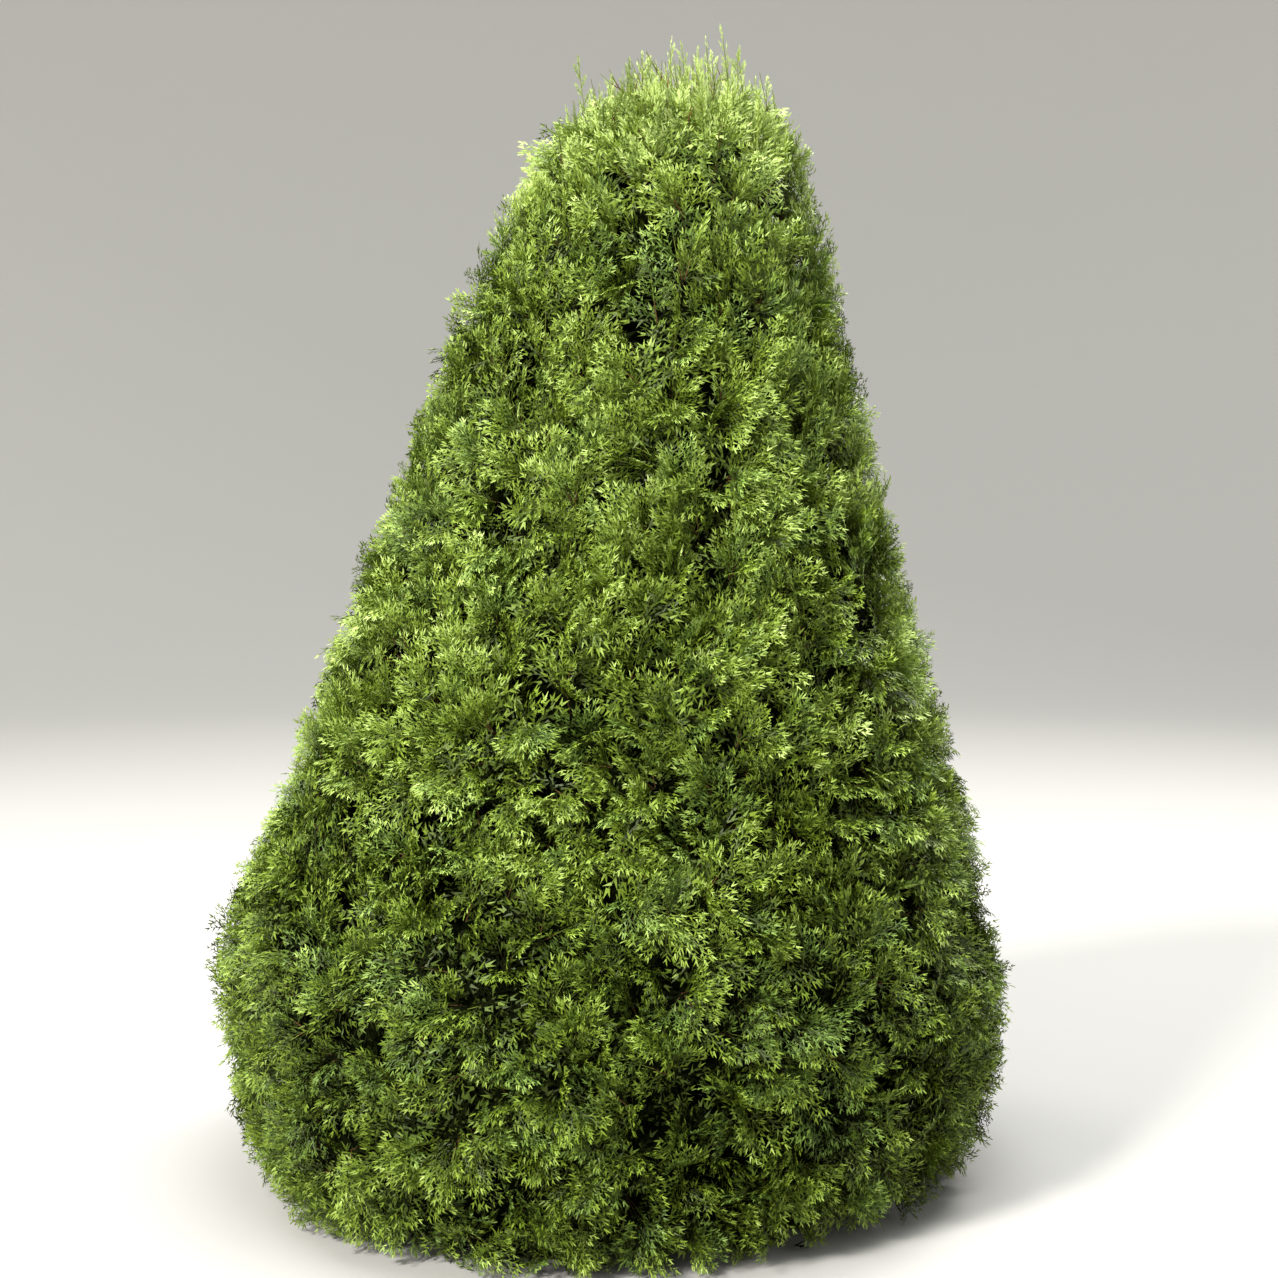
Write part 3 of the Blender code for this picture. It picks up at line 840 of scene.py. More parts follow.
def leaf_depth(point):
    """How far a point lies behind the outermost leaves, at the side or under the top."""
    return min(depth_in_crown(point), dome_height(point) - point.z)


def room_for_spray(root, along, overshoot):
    """How long a spray can be before the fingers at its sides leave the crown's side or its dome."""
    room = surface_distance(root, along) + overshoot
    if along.z > CLIMBS:
        room = min(room, (dome_height(root) - root.z) / along.z)
    return room - SIDE_FINGERS


print("the rounded top stands", DOME_PEAK, "m high")

# %% Grow one frond with its sprays
# What has grown so far: the sprays of each mass, and the thin wood as tubes
GROWN = SimpleNamespace(sprays={site[0]: [] for site in SITES}, ribs=[], twigs=[])

# The rib: how it droops at the foot of the crown and lifts at the top, and how it is drawn
RIB_LIFT, RIB_LIFT_GAIN = -0.16, 0.45
RIB_PLACES, RIB_RADII, RIB_SIDES = (0.0, 0.45, 0.85), (0.0016, 0.0012, 0.0007), 3
# Above this share of the crown's height some fronds are slim, more and more of them, and open less
SLIM_FROM, SLIM_GAIN, SLIM_OPEN = 0.72, 3.0, 0.6
# The sprays: their places along the rib, how they open, their length, and how all of it strays
SIDE_SPRAYS, FIRST_PLACE, PLACE_RUN, TIP_PLACE = 4, 0.08, 0.62, 0.84
SPRAY_OPEN, SPRAY_OPEN_LOST, SPRAY_TILT, SPRAY_WANDER, SPRAY_TWIST = 0.70, 0.20, 0.25, 0.16, 0.42
SPRAY_LENGTH, SHORTEST_SPRAY, SPRAY_RANGE = 0.084, 0.038, (0.82, 1.15)
LENGTH_AT_FOOT, LENGTH_LOST = 1.08, 0.20
OVERSHOOT, OVERSHOOT_POWER, GROUND_REST = 0.045, 3, 0.003
# Greens, in steps of the leaf tints: how a spray's own strays, and how painted shade darkens it with its
# depth
SPRAY_STRAY, DEPTH_PAINTED_SHADE, SHADE_DEPTH, COOL_SHARE = 0.8, 33.0, 0.075, 0.18


def plant(name, kind, root, along, face, size, light, cool, rng):
    """Notes one spray of a mass: which pattern, where, how light its green is, and whether it is cool."""
    across = along.cross(face)
    place = np.column_stack((across * size, along * size, face * size, root))
    pattern = rng.randrange(len(SPRAYS[kind]))
    GROWN.sprays[name].append((kind, pattern, place, light, cool))


def grow_frond(name, base, way, length, face, share, light, rng):
    """One frond: a rib that lifts or droops, sprays to both sides and one at its tip."""
    lift = UP * length * (RIB_LIFT + RIB_LIFT_GAIN * share)

    def rib(s):
        """Where the rib is at a share of its length."""
        return base + way * length * s + lift * s * s

    GROWN.ribs.append(([rib(s) for s in RIB_PLACES], RIB_RADII, RIB_SIDES))
    slim = rng.random() < (share - SLIM_FROM) * SLIM_GAIN
    cool = rng.random() < COOL_SHARE
    for i in range(SIDE_SPRAYS + 1):
        last = i == SIDE_SPRAYS
        s = TIP_PLACE if last else FIRST_PLACE + PLACE_RUN * i / (SIDE_SPRAYS - 1)
        root = rib(s)
        ahead = (way * length + lift * 2 * s).normalized()
        side = 0 if last else 1 if i % 2 else -1
        opens = side * (SPRAY_OPEN - SPRAY_OPEN_LOST * s) * (SLIM_OPEN if slim else 1.0)
        along = ahead * math.cos(opens) + ahead.cross(face) * math.sin(opens)
        tilt = rng.uniform(-SPRAY_TILT, SPRAY_TILT)
        along = (along + face * tilt + any_way(rng) * SPRAY_WANDER).normalized()
        size = SPRAY_LENGTH * (LENGTH_AT_FOOT - LENGTH_LOST * s) * rng.uniform(*SPRAY_RANGE)
        size = min(size, room_for_spray(root, along, OVERSHOOT * rng.random() ** OVERSHOOT_POWER))
        turned = flat_to(face + any_way(rng) * SPRAY_TWIST, along)
        tip = root + along * size
        if size < SHORTEST_SPRAY or tip.z < GROUND_REST:
            continue
        depth = leaf_depth(tip)
        kind = "plain" if depth > SHADE_DEPTH else "slim" if slim else "full"
        # Painted shade: the deeper the spray's tip lies in the crown, the darker its green
        shade = light - DEPTH_PAINTED_SHADE * max(0.0, depth) + rng.uniform(-SPRAY_STRAY, SPRAY_STRAY)
        plant(name, kind, root, along, turned, size, shade, cool, rng)


# %% Grow a branchlet with its tuft
# The branchlet: how far it leans to the line from the mass's middle, how ragged the crown is, and how
# the thin wood is drawn
BRANCHLET_LEAN, SHAG, SHAG_POWER, TUFT_DEPTH = 0.3, 0.060, 1.5, 0.110
TWIG_BOW, TWIG_END, TWIG_RADII, TWIG_SIDES = 0.02, 0.55, (0.0042, 0.0034, 0.0026, 0.0014), 4
# The fronds: how many, where they leave the branchlet, how they open and stray, and their length
FRONDS, FIRST_FROND, FROND_FEET = 4, 0.3, 0.45
FROND_OPEN_LOW, FROND_OPEN_HIGH, FROND_OPEN_RANGE = 1.00, 0.60, (0.8, 1.2)
FROND_TURN, FROND_WANDER, SWEEP_RANGE = 0.4, 0.2, (0.5, 1.3)
FROND_LENGTH, FROND_RANGE, SHORTEST_FROND = 0.120, (0.75, 1.25), 0.03
FROND_SHAG, TIP_ROOM, FACE_LIFT, FACE_STRAY = 0.8, 0.55, 0.25, 0.5
# The sprays behind them: how many, how far along the branchlet, how long, and how deep at the least
BEHIND = SimpleNamespace(kind="plain", count=5, feet=(0.35, 0.80), length=0.100, depth=0.030)
INSIDE = SimpleNamespace(kind="coarse", count=5, feet=(0.0, 0.45), length=0.130, depth=0.072)
# How the sprays behind rise, wander and vary in length, and how much painted shade darkens the plain ones
BACK_RISE, BACK_WANDER, BACK_RANGE, BACK_PAINTED_SHADE = (-0.1, 0.45), 0.25, (0.8, 1.15), 0.6
HEART_SPRAYS, HEART_LENGTH, HEART_PULL = 120, 0.20, 2.0
# Greens, in steps of the leaf tints: how light a tuft is at each height, painted light and shade, and the
# coarse sprays' own, a painted shade near black
PAINTED_LIGHT_HEIGHTS, PAINTED_LIGHT_STEPS = (0.0, 0.5, 1.1, 2.0, 2.5), (1.0, 0.3, 2.4, 1.9, 4.5)
LIGHT_STRAY, IN_SHADE = 0.9, -5.0


def grow_tuft(name, heart, along, outward, sweep, share, light, rng):
    """The fronds of one tuft, which open round its line and are combed to one side."""
    side = flat_to(any_way(rng), along)
    other = along.cross(side)
    opens_most = FROND_OPEN_LOW + (FROND_OPEN_HIGH - FROND_OPEN_LOW) * share
    for n in range(FRONDS):
        opens = opens_most * math.sqrt((n + FIRST_FROND) / FRONDS) * rng.uniform(*FROND_OPEN_RANGE)
        turn = n * GOLDEN_ANGLE + rng.uniform(-FROND_TURN, FROND_TURN)
        lateral = side * math.cos(turn) + other * math.sin(turn)
        way = along * math.cos(opens) + lateral * math.sin(opens)
        way = (way + sweep * rng.uniform(*SWEEP_RANGE) + any_way(rng) * FROND_WANDER).normalized()
        base = heart + along * TUFT_DEPTH * rng.uniform(0.0, FROND_FEET)
        room = surface_distance(base, way) - SHAG * FROND_SHAG * rng.random()
        length = min(FROND_LENGTH * rng.uniform(*FROND_RANGE), room - SPRAY_LENGTH * TIP_ROOM)
        if length < SHORTEST_FROND:
            continue
        odd = n == FRONDS - 1  # the last frond faces any way
        facing = any_way(rng) if odd else outward + UP * FACE_LIFT + any_way(rng) * FACE_STRAY
        grow_frond(name, base, way, length, flat_to(facing, way), share, light, rng)


def grow_back(name, root, aim, outward, light, rng):
    """Plain sprays behind a tuft and coarse ones round the branchlet's foot, turned to every side: the
    plain ones darkened with painted shade, the coarse ones painted near black as shade.
    """
    for n in range(BEHIND.count + INSIDE.count):
        inside = n >= BEHIND.count
        row = INSIDE if inside else BEHIND
        turn = n * GOLDEN_ANGLE
        way = outward.orthogonal().normalized()
        way = way * math.cos(turn) + outward.cross(way) * math.sin(turn)
        way = (way + outward * rng.uniform(*BACK_RISE) + any_way(rng) * BACK_WANDER).normalized()
        base = root.lerp(aim, rng.uniform(*row.feet))
        size = row.length * rng.uniform(*BACK_RANGE)
        tip = base + way * size
        depth = leaf_depth(tip)
        if depth > row.depth and tip.z > GROUND_REST:
            face = flat_to(outward + any_way(rng) * FACE_STRAY, way)
            # Painted shade: the coarse sprays near black, the plain ones darker with their depth
            shade = IN_SHADE if inside else light - BACK_PAINTED_SHADE - DEPTH_PAINTED_SHADE * depth
            plant(name, row.kind, base, way, face, size, shade, False, rng)


def grow_branchlet(name, aim, middle, faces, rng):
    """One branchlet, from its limb to the crown's surface, with its tuft and the sprays behind it."""
    grows = fan_growth(aim, faces, rng)
    rng.uniform(0.0, math.pi)  # the model's blade draws its roll here, and the length comes after it
    length = FAN_LENGTH * rng.uniform(*FAN_RANGE)
    straight = (aim - middle).normalized()
    along = (grows * (1.0 - BRANCHLET_LEAN) + straight * BRANCHLET_LEAN).normalized()
    aim = aim - along * SHAG * rng.random() ** SHAG_POWER
    share = min(1.0, aim.z / CROWN_TOP)
    root = aim - along * length
    start = min(LIMBS[name][LIMB_STEPS // 2:], key=lambda point: (point - root).length)
    bow = start.lerp(root, 0.5) + straight * TWIG_BOW
    GROWN.twigs.append(([start, bow, root, root.lerp(aim, TWIG_END)], TWIG_RADII, TWIG_SIDES))
    outward = normal_at(aim)
    # Painted light and shade by height, with a seeded stray
    light = float(np.interp(aim.z, PAINTED_LIGHT_HEIGHTS, PAINTED_LIGHT_STEPS)) + rng.uniform(-LIGHT_STRAY, LIGHT_STRAY)
    sweep = sweep_at(aim, outward, share, rng)
    grow_tuft(name, aim - along * TUFT_DEPTH, along, outward, sweep, share, light, rng)
    grow_back(name, root, aim, outward, light, rng)


# %% Grow the model's own branchlets
def grow_heart(name, middle, rng):
    """Coarse sprays round the end of a limb, painted near black as shade, which close the view to the
    trunk.
    """
    for n in range(HEART_SPRAYS):
        base = LIMBS[name][-1 - n % (LIMB_STEPS // 2)]
        way = (any_way(rng) + (middle - base) * HEART_PULL).normalized()
        tip = base + way * HEART_LENGTH
        if leaf_depth(tip) > SHADE_DEPTH and tip.z > GROUND_REST:
            face = flat_to(normal_at(tip) + any_way(rng) * FACE_STRAY, way)
            plant(name, "coarse", base, way, face, HEART_LENGTH, IN_SHADE, False, rng)


for name, _, _, middle, faces in SITES:
    for n, aim in enumerate(AIMS[name]):
        grow_branchlet(name, aim, middle, faces, random.Random(f"{SEED} {name} {n}"))
    grow_heart(name, middle, random.Random(f"{SEED} {name} heart"))
print(len(GROWN.twigs), "branchlets carry", len(GROWN.ribs), "fronds")

# %% [markdown]
# ## Closing the crown
#
# The model's branchlets end some 15 cm apart, and the real crown shows hardly any wood between its
# sprays. Longer sprays would close it too, but they would look coarse. So further branchlets grow by the
# same rule, each from the mass that is nearest. First they fill the surface where no branchlet ends yet,
# over the creases between masses too, and the rounded top. Then the leafy sprays are counted near many
# points just under the surface, and wherever there are too few of them, one more branchlet grows.

# %% Grow further branchlets
FILL_POINTS, FILL_GAP, CREASE_SHALLOW = 1050, 0.062, 0.020
BARE_POINTS, BARE_DEPTH, BARE_REACH, FEWEST_SPRAYS, BARE_GAP = 4000, 0.035, 0.055, 4, 0.070
SURFACE_ROWS, CAP_POINTS, CAP_REACH = 200, 46, 0.24


def bearing_way(bearing):
    """The level direction at a bearing."""
    return Vector((math.cos(bearing), math.sin(bearing), 0.0))


def surface_points(count):
    """Points spread evenly over the crown's surface."""
    heights = np.linspace(GROUND_GAP, DOME_PEAK, SURFACE_ROWS)
    area = np.cumsum([outline_reach(height) for height in heights])
    for n in range(count):
        height = float(np.interp((n + 0.5) / count * area[-1], area, heights))
        bearing = n * GOLDEN_ANGLE
        yield trunk_axis(height) + bearing_way(bearing) * crown_reach(height, bearing)


def top_points(count, reach):
    """Points spread evenly over the rounded top."""
    for n in range(count):
        out = reach * math.sqrt((n + 0.5) / count)
        point = trunk_axis(DOME_PEAK) + bearing_way(n * GOLDEN_ANGLE) * out
        point.z = dome_height(point)
        yield point


def filling_aims(taken):
    """Where further branchlets end: at surface points with none near yet, and over the rounded top."""
    for aim in surface_points(FILL_POINTS):
        if min((aim - other).length for other in taken) > FILL_GAP:
            yield aim
    yield from top_points(CAP_POINTS, CAP_REACH)


def bare_aims(planted):
    """Surface points that too few of these sprays are near, not too close together."""
    tree = KDTree(len(planted))
    for n, (_, _, place, _, _) in enumerate(planted):
        tree.insert(place[:, 3] + place[:, 1] / 2, n)
    tree.balance()
    found = []
    for aim in surface_points(BARE_POINTS):
        inside = aim - normal_at(aim) * BARE_DEPTH
        apart = all((aim - other).length > BARE_GAP for other in found)
        if apart and aim.z < dome_height(aim) and len(tree.find_range(inside, BARE_REACH)) < FEWEST_SPRAYS:
            found.append(aim)
    return found


def grow_further(purpose, further_aims):
    """Grows a branchlet to each of these points, from the mass nearest to it."""
    for n, aim in enumerate(further_aims):
        name, _, _, middle, faces = min(SITES, key=lambda site: (site[3] - aim).length)
        grow_branchlet(name, aim, middle, faces, random.Random(f"{SEED} {purpose} {n}"))


def all_sprays():
    """Every spray that has grown so far."""
    return [spray for sprays in GROWN.sprays.values() for spray in sprays]


# The branchlets that end deep in a crease don't close the surface
shallow = [aim for aims in AIMS.values() for aim in aims if leaf_depth(aim) < CREASE_SHALLOW]
grow_further("filling", filling_aims(shallow))
print(len(GROWN.twigs), "branchlets spread over the crown")
grow_further("bare", bare_aims([spray for spray in all_sprays() if spray[0] != "coarse"]))
print(len(GROWN.twigs), "branchlets in all carry", len(GROWN.ribs), "fronds")

# %% [markdown]
# ## The shoots at the top
#
# This year's growth stands up out of the crown's top as thin, upright shoots of uneven height. They are
# what makes the top look alive rather than clipped. Each one is a thin stem from the nearest limb with
# short slim sprays pressed close to it. The shoots are spread evenly over the top and stand tallest round
# a few places, because a brush of even height would look clipped again.

# %% Grow the top shoots
# How many, how far they spread, and how deep their feet stand
TOP_SHOOTS, TOP_SPREAD, TOP_FOOT = 80, 0.26, 0.06
# Over the leaves: the least and the most height, its share away from a tuft, and how few are tall
TOP_LEAST, TOP_MOST, TOP_AWAY, TOP_POWER = 0.012, 0.150, 0.30, 1.1
# From the trunk's axis: the places round which the tallest shoots stand
TUFTS = ((0.01, -0.02), (-0.17, -0.08), (0.14, -0.06), (-0.07, 0.15), (0.12, 0.14))
TUFT_WIDTH = 0.070
# The stem: how it strays from upright, where it bows, and how it is drawn
TOP_WANDER, TOP_BOW_PLACE, TOP_BOW, TOP_END = 0.13, 0.6, 0.01, 0.9
TOP_RADII, TOP_SIDES = (0.0026, 0.0021, 0.0017, 0.0009), 4
# Its sprays: their places, how they open, their length, how they stray, and their green, that of fresh
# growth with painted light
TOP_SPRAYS, TOP_FIRST, TOP_RUN, TOP_TIP = 8, 0.05, 0.78, 0.85
TOP_SPRAY_LENGTH, TOP_SPRAY_RANGE, TOP_SPRAY_PROUD = 0.036, (0.8, 1.2), 0.032
TOP_OPEN_RANGE, TOP_SPRAY_WANDER, TOP_SPRAY_TWIST, TOP_LIGHT = (0.30, 0.55), 0.1, 0.4, 4.8
TOP_SITES = [site for site in SITES if site[1] >= len(TIERS)]


def grow_top_shoot(name, foot, height, rng):
    """An upright shoot: a stem that bends up from its limb, with slim sprays up it and at its tip."""
    way = (UP + any_way(rng) * TOP_WANDER).normalized()
    top = foot + way * height
    start = min(LIMBS[name][LIMB_STEPS // 2:], key=lambda point: (point - foot).length)
    bow = start.lerp(foot, TOP_BOW_PLACE) + UP * TOP_BOW
    GROWN.ribs.append(([start, bow, foot, foot.lerp(top, TOP_END)], TOP_RADII, TOP_SIDES))
    face = flat_to(any_way(rng), way)
    across = way.cross(face)
    for i in range(TOP_SPRAYS + 1):
        last = i == TOP_SPRAYS
        root = foot.lerp(top, TOP_TIP if last else TOP_FIRST + TOP_RUN * i / TOP_SPRAYS)
        opens = 0.0 if last else rng.uniform(*TOP_OPEN_RANGE) * (1 if i % 2 else -1)
        along = way * math.cos(opens) + across * math.sin(opens)
        along = (along + any_way(rng) * TOP_SPRAY_WANDER).normalized()
        size = min(TOP_SPRAY_LENGTH * rng.uniform(*TOP_SPRAY_RANGE), (root - top).length + TOP_SPRAY_PROUD)
        turned = flat_to(face + any_way(rng) * TOP_SPRAY_TWIST, along)
        light = TOP_LIGHT + rng.uniform(-LIGHT_STRAY, LIGHT_STRAY)
        plant(name, "slim", root, along, turned, size, light, False, rng)


for n, foot in enumerate(top_points(TOP_SHOOTS, TOP_SPREAD)):
    shoot_rng = random.Random(f"{SEED} top {n}")
    foot.z = dome_height(foot) - TOP_FOOT
    name = min(TOP_SITES, key=lambda site: (site[3] - foot).length)[0]
    off = foot - trunk_axis(DOME_PEAK)
    nearest = min(math.hypot(off.x - x, off.y - y) for x, y in TUFTS)
    tallest = TOP_MOST * (TOP_AWAY + (1.0 - TOP_AWAY) * math.exp(-(nearest / TUFT_WIDTH) ** 2))
    height = TOP_FOOT + TOP_LEAST + (tallest - TOP_LEAST) * shoot_rng.random() ** TOP_POWER
    grow_top_shoot(name, foot, height, shoot_rng)

print(len(all_sprays()), "sprays in all:")
for kind in SPRAYS:
    print(kind, sum(1 for spray in all_sprays() if spray[0] == kind))

# %% [markdown]
# ## Tints
#
# The greens have places: yellow-green at the growing tips, painted shade deep inside and low down, and
# painted light on the sprays that stand in the light. A texture can't follow a million small faces, but
# each spray can simply be given its own paint. So there is a short row of plain leaf materials from a near
# black that is painted shade up to light yellow-green, all of them a little waxy but the darkest. Each
# spray is dealt its place in the row by painted light and shade, by its height and darker with its depth in
# the crown, and its parts go up the row from there towards its edge. Some fronds use a second row, a little
# bluer, because no two shoots of a plant have quite the same green.

# %% Mix the leaf tints
# A row of greens from leaf_shade, a near black that is painted shade, up to light yellow-green
LEAF_TINTS = {
    "leaf_shade": (0.004, 0.006, 0.0012),
    "leaf_1": (0.028, 0.044, 0.004),
    "leaf_2": (0.046, 0.073, 0.004),
    "leaf_3": (0.070, 0.108, 0.007),
    "leaf_4": (0.102, 0.154, 0.011),
    "leaf_5": (0.141, 0.206, 0.017),
    "leaf_6": (0.188, 0.268, 0.033),
    "leaf_7": (0.248, 0.340, 0.066),
    "leaf_8": (0.320, 0.422, 0.106),
    "leaf_9": (0.405, 0.515, 0.160),
    "cool_2": (0.042, 0.073, 0.009),
    "cool_3": (0.064, 0.108, 0.014),
    "cool_4": (0.093, 0.153, 0.022),
    "cool_5": (0.130, 0.205, 0.033),
    "cool_6": (0.175, 0.267, 0.050),
}
# Roughness and gloss
WAXY, MATT = (0.50, 0.20), (0.90, 0.03)

TINT_NAMES = list(LEAF_TINTS)
WARM_NAMES = [name for name in TINT_NAMES if name.startswith("leaf")]
cooler = {name: name.replace("leaf", "cool") for name in WARM_NAMES}
COOL_NAMES = [cooler[name] if cooler[name] in LEAF_TINTS else name for name in WARM_NAMES]
WARM_ROW = np.array([TINT_NAMES.index(name) for name in WARM_NAMES])
COOL_ROW = np.array([TINT_NAMES.index(name) for name in COOL_NAMES])


def leaf_material(name, colour, finish):
    """One plain tint."""
    material = bpy.data.materials.new(name)
    material.use_nodes = True
    shader = material.node_tree.nodes["Principled BSDF"]
    shader.inputs["Base Color"].default_value = (*colour, 1.0)
    roughness, gloss = finish
    shader.inputs["Roughness"].default_value = roughness
    shader.inputs["Specular IOR Level"].default_value = gloss
    return material


LEAF_MATERIALS = [
    leaf_material(name, colour, MATT if name == "leaf_shade" else WAXY)
    for name, colour in LEAF_TINTS.items()
]
RIB_BROWN = leaf_material("rib_brown", (0.090, 0.050, 0.020), MATT)
RIB_GREEN = leaf_material("rib_green", (0.130, 0.165, 0.028), MATT)
print("warm row", WARM_NAMES)
print("cool row", COOL_NAMES)

# %% [markdown]
# ## Leaves as meshes
#
# Thousands of objects would be slow to move and to draw, and particles don't leave Blender. So each mass
# becomes one joined mesh. The patterns are multiplied by all their places at once with arrays, which
# takes a fraction of a second where a loop over faces would take minutes. Each piece stands for its own
# mass.

# %% Join the sprays of each mass
def piece_from_arrays(name, points, faces, tints, materials):
    """An object from arrays of points, faces and each face's material."""
    mesh = bpy.data.meshes.new(name)
    mesh.vertices.add(len(points))
    mesh.vertices.foreach_set("co", points.astype(np.float32).ravel())
    sides = faces.shape[1]
    mesh.loops.add(faces.size)
    mesh.loops.foreach_set("vertex_index", faces.astype(np.int32).ravel())
    mesh.polygons.add(len(faces))
    mesh.polygons.foreach_set("loop_start", np.arange(0, faces.size, sides, dtype=np.int32))
    mesh.polygons.foreach_set("loop_total", np.full(len(faces), sides, dtype=np.int32))
    for material in materials:
        mesh.materials.append(material)
    mesh.polygons.foreach_set("material_index", tints.astype(np.int32))
    mesh.update(calc_edges=True)
    mesh.validate()
    piece = bpy.data.objects.new(name, mesh)
    bpy.context.scene.collection.objects.link(piece)
    return piece


def joined_sprays(name, sprays):
    """One mesh of all the sprays of a mass."""
    groups = {}
    for kind, pattern, place, light, cool in sprays:
        groups.setdefault((kind, pattern), []).append((place, round(light), COOL_ROW if cool else WARM_ROW))
    all_points, all_faces, all_tints, size = [], [], [], 0
    for (kind, pattern), members in groups.items():
        shape = SPRAYS[kind][pattern]
        places = np.array([place for place, _, _ in members])
        stems = np.array([stem for _, stem, _ in members])
        rows = np.array([row for _, _, row in members])
        tints = np.clip(stems[:, None] + shape.steps, 0, rows.shape[1] - 1)
        points = np.einsum("nij,mj->nmi", places[:, :, :3], shape.points) + places[:, None, :, 3]
        starts = size + np.arange(len(members)) * len(shape.points)
        all_points.append(points.reshape(-1, 3))
        all_faces.append((shape.faces[None] + starts[:, None, None]).reshape(-1, 3))
        all_tints.append(np.take_along_axis(rows, tints, axis=1).ravel())
        size += points.shape[0] * points.shape[1]
    points = np.concatenate(all_points)
    points[:, 2] = np.maximum(points[:, 2], GROUND_REST)
    return piece_from_arrays(
        name, points, np.concatenate(all_faces), np.concatenate(all_tints), LEAF_MATERIALS
    )


leaf_faces = 0
for name, sprays in GROWN.sprays.items():
    piece = joined_sprays(f"{name}_sprays", sprays)
    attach(piece, BODY)
    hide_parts(name)
    leaf_faces += len(piece.data.polygons)
print(leaf_faces, "triangles of leaves in", len(GROWN.sprays), "pieces")

# %% Join the twigs
def tube_arrays(path, radii, sides):
    """The points, faces and own places of an open thin tube along a path."""
    points, places, along = [], [], 0.0
    for i, point in enumerate(path):
        ahead = (path[min(i + 1, len(path) - 1)] - path[max(i - 1, 0)]).normalized()
        side = ahead.orthogonal().normalized()
        other = ahead.cross(side)
        if i:
            along += (point - path[i - 1]).length
        for n in range(sides):
            turn = 2 * math.pi * n / sides
            off = (side * math.cos(turn) + other * math.sin(turn)) * radii[i]
            points.append(point + off)
            places.append((math.cos(turn) * radii[i], math.sin(turn) * radii[i], along))
    faces = []
    for i in range(len(path) - 1):
        for n in range(sides):
            a, b = i * sides + n, i * sides + (n + 1) % sides
            faces.append((a, b, b + sides, a + sides))
    return np.array(points), np.array(faces), np.array(places)


def joined_twigs(name, tubes, materials):
    """One mesh of many thin tubes. With two materials, each tube turns from the first to the second."""
    all_points, all_faces, all_places, all_tints, size = [], [], [], [], 0
    for path, radii, sides in tubes:
        points, faces, places = tube_arrays(path, radii, sides)
        all_points.append(points)
        all_faces.append(faces + size)
        all_places.append(places)
        all_tints.append(np.arange(len(faces)) * len(materials) // len(faces))
        size += len(points)
    faces = np.concatenate(all_faces)
    piece = piece_from_arrays(name, np.concatenate(all_points), faces, np.concatenate(all_tints), materials)
    kept = piece.data.attributes.new(PLACE, "FLOAT_VECTOR", "POINT")
    kept.data.foreach_set("vector", np.concatenate(all_places).ravel())
    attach(piece, BODY)
    print(name, "has", len(faces), "faces")


joined_twigs("twigs", GROWN.twigs, [BRANCH_WOOD])
joined_twigs("frond_ribs", GROWN.ribs, [RIB_BROWN, RIB_GREEN])

# %% [markdown]
# ## Floor, light and camera
#
# A pale floor and soft light let the greens speak for themselves. A strong lamp high on the left stands
# in for the bright side of the sky and a broad one overhead for the rest of it. A weak one low on the
# right opens the shade, and two behind light the edges of the crown. The camera stands at eye height, a
# few steps away, and looks a little down, as the picture was taken.

# %% Lay the floor
FLOOR_SIDES, FLOOR_RADIUS, FLOOR_BEND, FLOOR_STEPS = 128, 9.0, 8.0, 18
FLOOR_COLOUR, FLOOR_ROUGHNESS = (0.36, 0.355, 0.342, 1.0), 0.9

nothing_selected()
bpy.ops.mesh.primitive_circle_add(vertices=FLOOR_SIDES, radius=FLOOR_RADIUS, fill_type="NGON")
floor = bpy.context.object
floor.name = "pale_sweep"
bpy.ops.object.mode_set(mode="EDIT")
bpy.ops.mesh.select_all(action="SELECT")
bpy.ops.mesh.region_to_loop()
radius, height = FLOOR_RADIUS, 0.0
for step in range(1, FLOOR_STEPS + 1):
    angle = math.pi / 2 * step / FLOOR_STEPS
    next_radius = FLOOR_RADIUS + FLOOR_BEND * math.sin(angle)
    next_height = FLOOR_BEND * (1.0 - math.cos(angle))
    bpy.ops.mesh.extrude_edges_move(TRANSFORM_OT_translate={"value": (0.0, 0.0, next_height - height)})
    ratio = next_radius / radius
    bpy.ops.transform.resize(value=(ratio, ratio, 1.0), center_override=(0.0, 0.0, next_height))
    radius, height = next_radius, next_height
bpy.ops.mesh.extrude_edges_move(TRANSFORM_OT_translate={"value": (0.0, 0.0, FLOOR_BEND)})
bpy.ops.object.mode_set(mode="OBJECT")
bpy.ops.object.shade_smooth()
pale = bpy.data.materials.new("pale_floor")
pale.use_nodes = True
pale_shader = pale.node_tree.nodes["Principled BSDF"]
pale_shader.inputs["Base Color"].default_value = FLOOR_COLOUR
pale_shader.inputs["Roughness"].default_value = FLOOR_ROUGHNESS
floor.data.materials.append(pale)
print("the floor has", len(floor.data.polygons), "faces")

# %% Light it
SKY_COLOUR, SKY_STRENGTH = (0.95, 0.98, 1.0, 1.0), 0.60

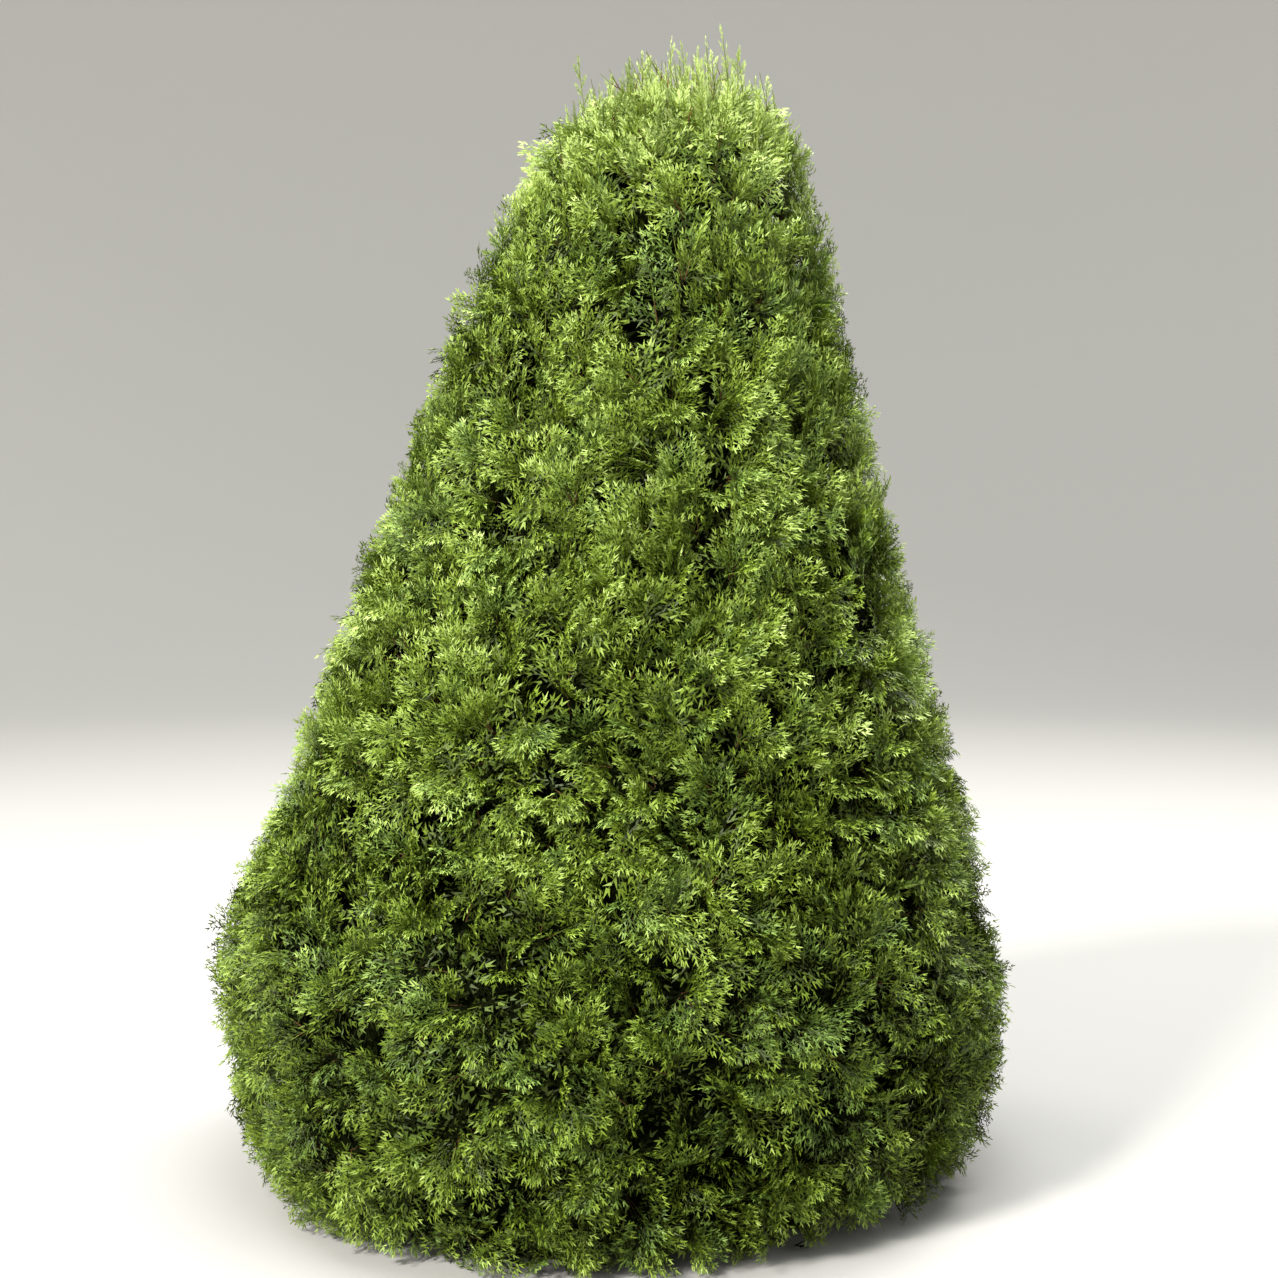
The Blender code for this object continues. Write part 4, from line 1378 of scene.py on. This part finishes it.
world = bpy.data.worlds.new("studio")
bpy.context.scene.world = world
world.use_nodes = True
world.node_tree.nodes["Background"].inputs["Color"].default_value = SKY_COLOUR
world.node_tree.nodes["Background"].inputs["Strength"].default_value = SKY_STRENGTH
bpy.context.scene.view_settings.view_transform = "Standard"


def soft_lamp(name, place, target, size, power, colour):
    """A round lamp at a place, turned to a target."""
    lamp = bpy.data.lights.new(name, "AREA")
    lamp.shape = "DISK"
    lamp.size = size
    lamp.energy = power
    lamp.color = colour
    holder = bpy.data.objects.new(name, lamp)
    holder.location = place
    holder.rotation_euler = (Vector(target) - Vector(place)).to_track_quat("-Z", "Y").to_euler()
    bpy.context.scene.collection.objects.link(holder)


soft_lamp("sky_left", (-8.9, -9.9, 11.6), (0.0, 0.0, 1.2), 3.5, 6000.0, (1.0, 0.98, 0.92))
soft_lamp("sky_top", (0.6, -1.0, 9.5), (0.1, 0.0, 1.2), 6.0, 900.0, (0.97, 0.99, 1.0))
soft_lamp("fill_right", (4.5, -3.0, 3.0), (0.0, 0.0, 1.2), 3.0, 30.0, (0.92, 0.96, 1.0))
soft_lamp("sky_back_left", (-4.5, 3.5, 5.5), (0.0, 0.0, 1.5), 3.0, 260.0, (1.0, 0.98, 0.94))
soft_lamp("sky_back_right", (4.2, 4.4, 6.2), (0.0, 0.0, 1.5), 3.0, 600.0, (1.0, 0.98, 0.94))
print("lamps", [lamp.name for lamp in bpy.data.lights])

# %% Place the camera
CAMERA_PLACE = (0.074, -4.81, 1.6)
CAMERA_LENS, CAMERA_SENSOR = 60.0, 36.0
LEVEL, LOOKS_DOWN = math.radians(90.0), math.radians(4.80)

camera_data = bpy.data.cameras.new("camera")
camera_data.lens = CAMERA_LENS
camera_data.sensor_width = CAMERA_SENSOR
camera = bpy.data.objects.new("camera", camera_data)
camera.location = CAMERA_PLACE
camera.rotation_euler = (LEVEL - LOOKS_DOWN, 0.0, 0.0)
bpy.context.scene.collection.objects.link(camera)
bpy.context.scene.camera = camera
print("the camera stands at", CAMERA_PLACE)
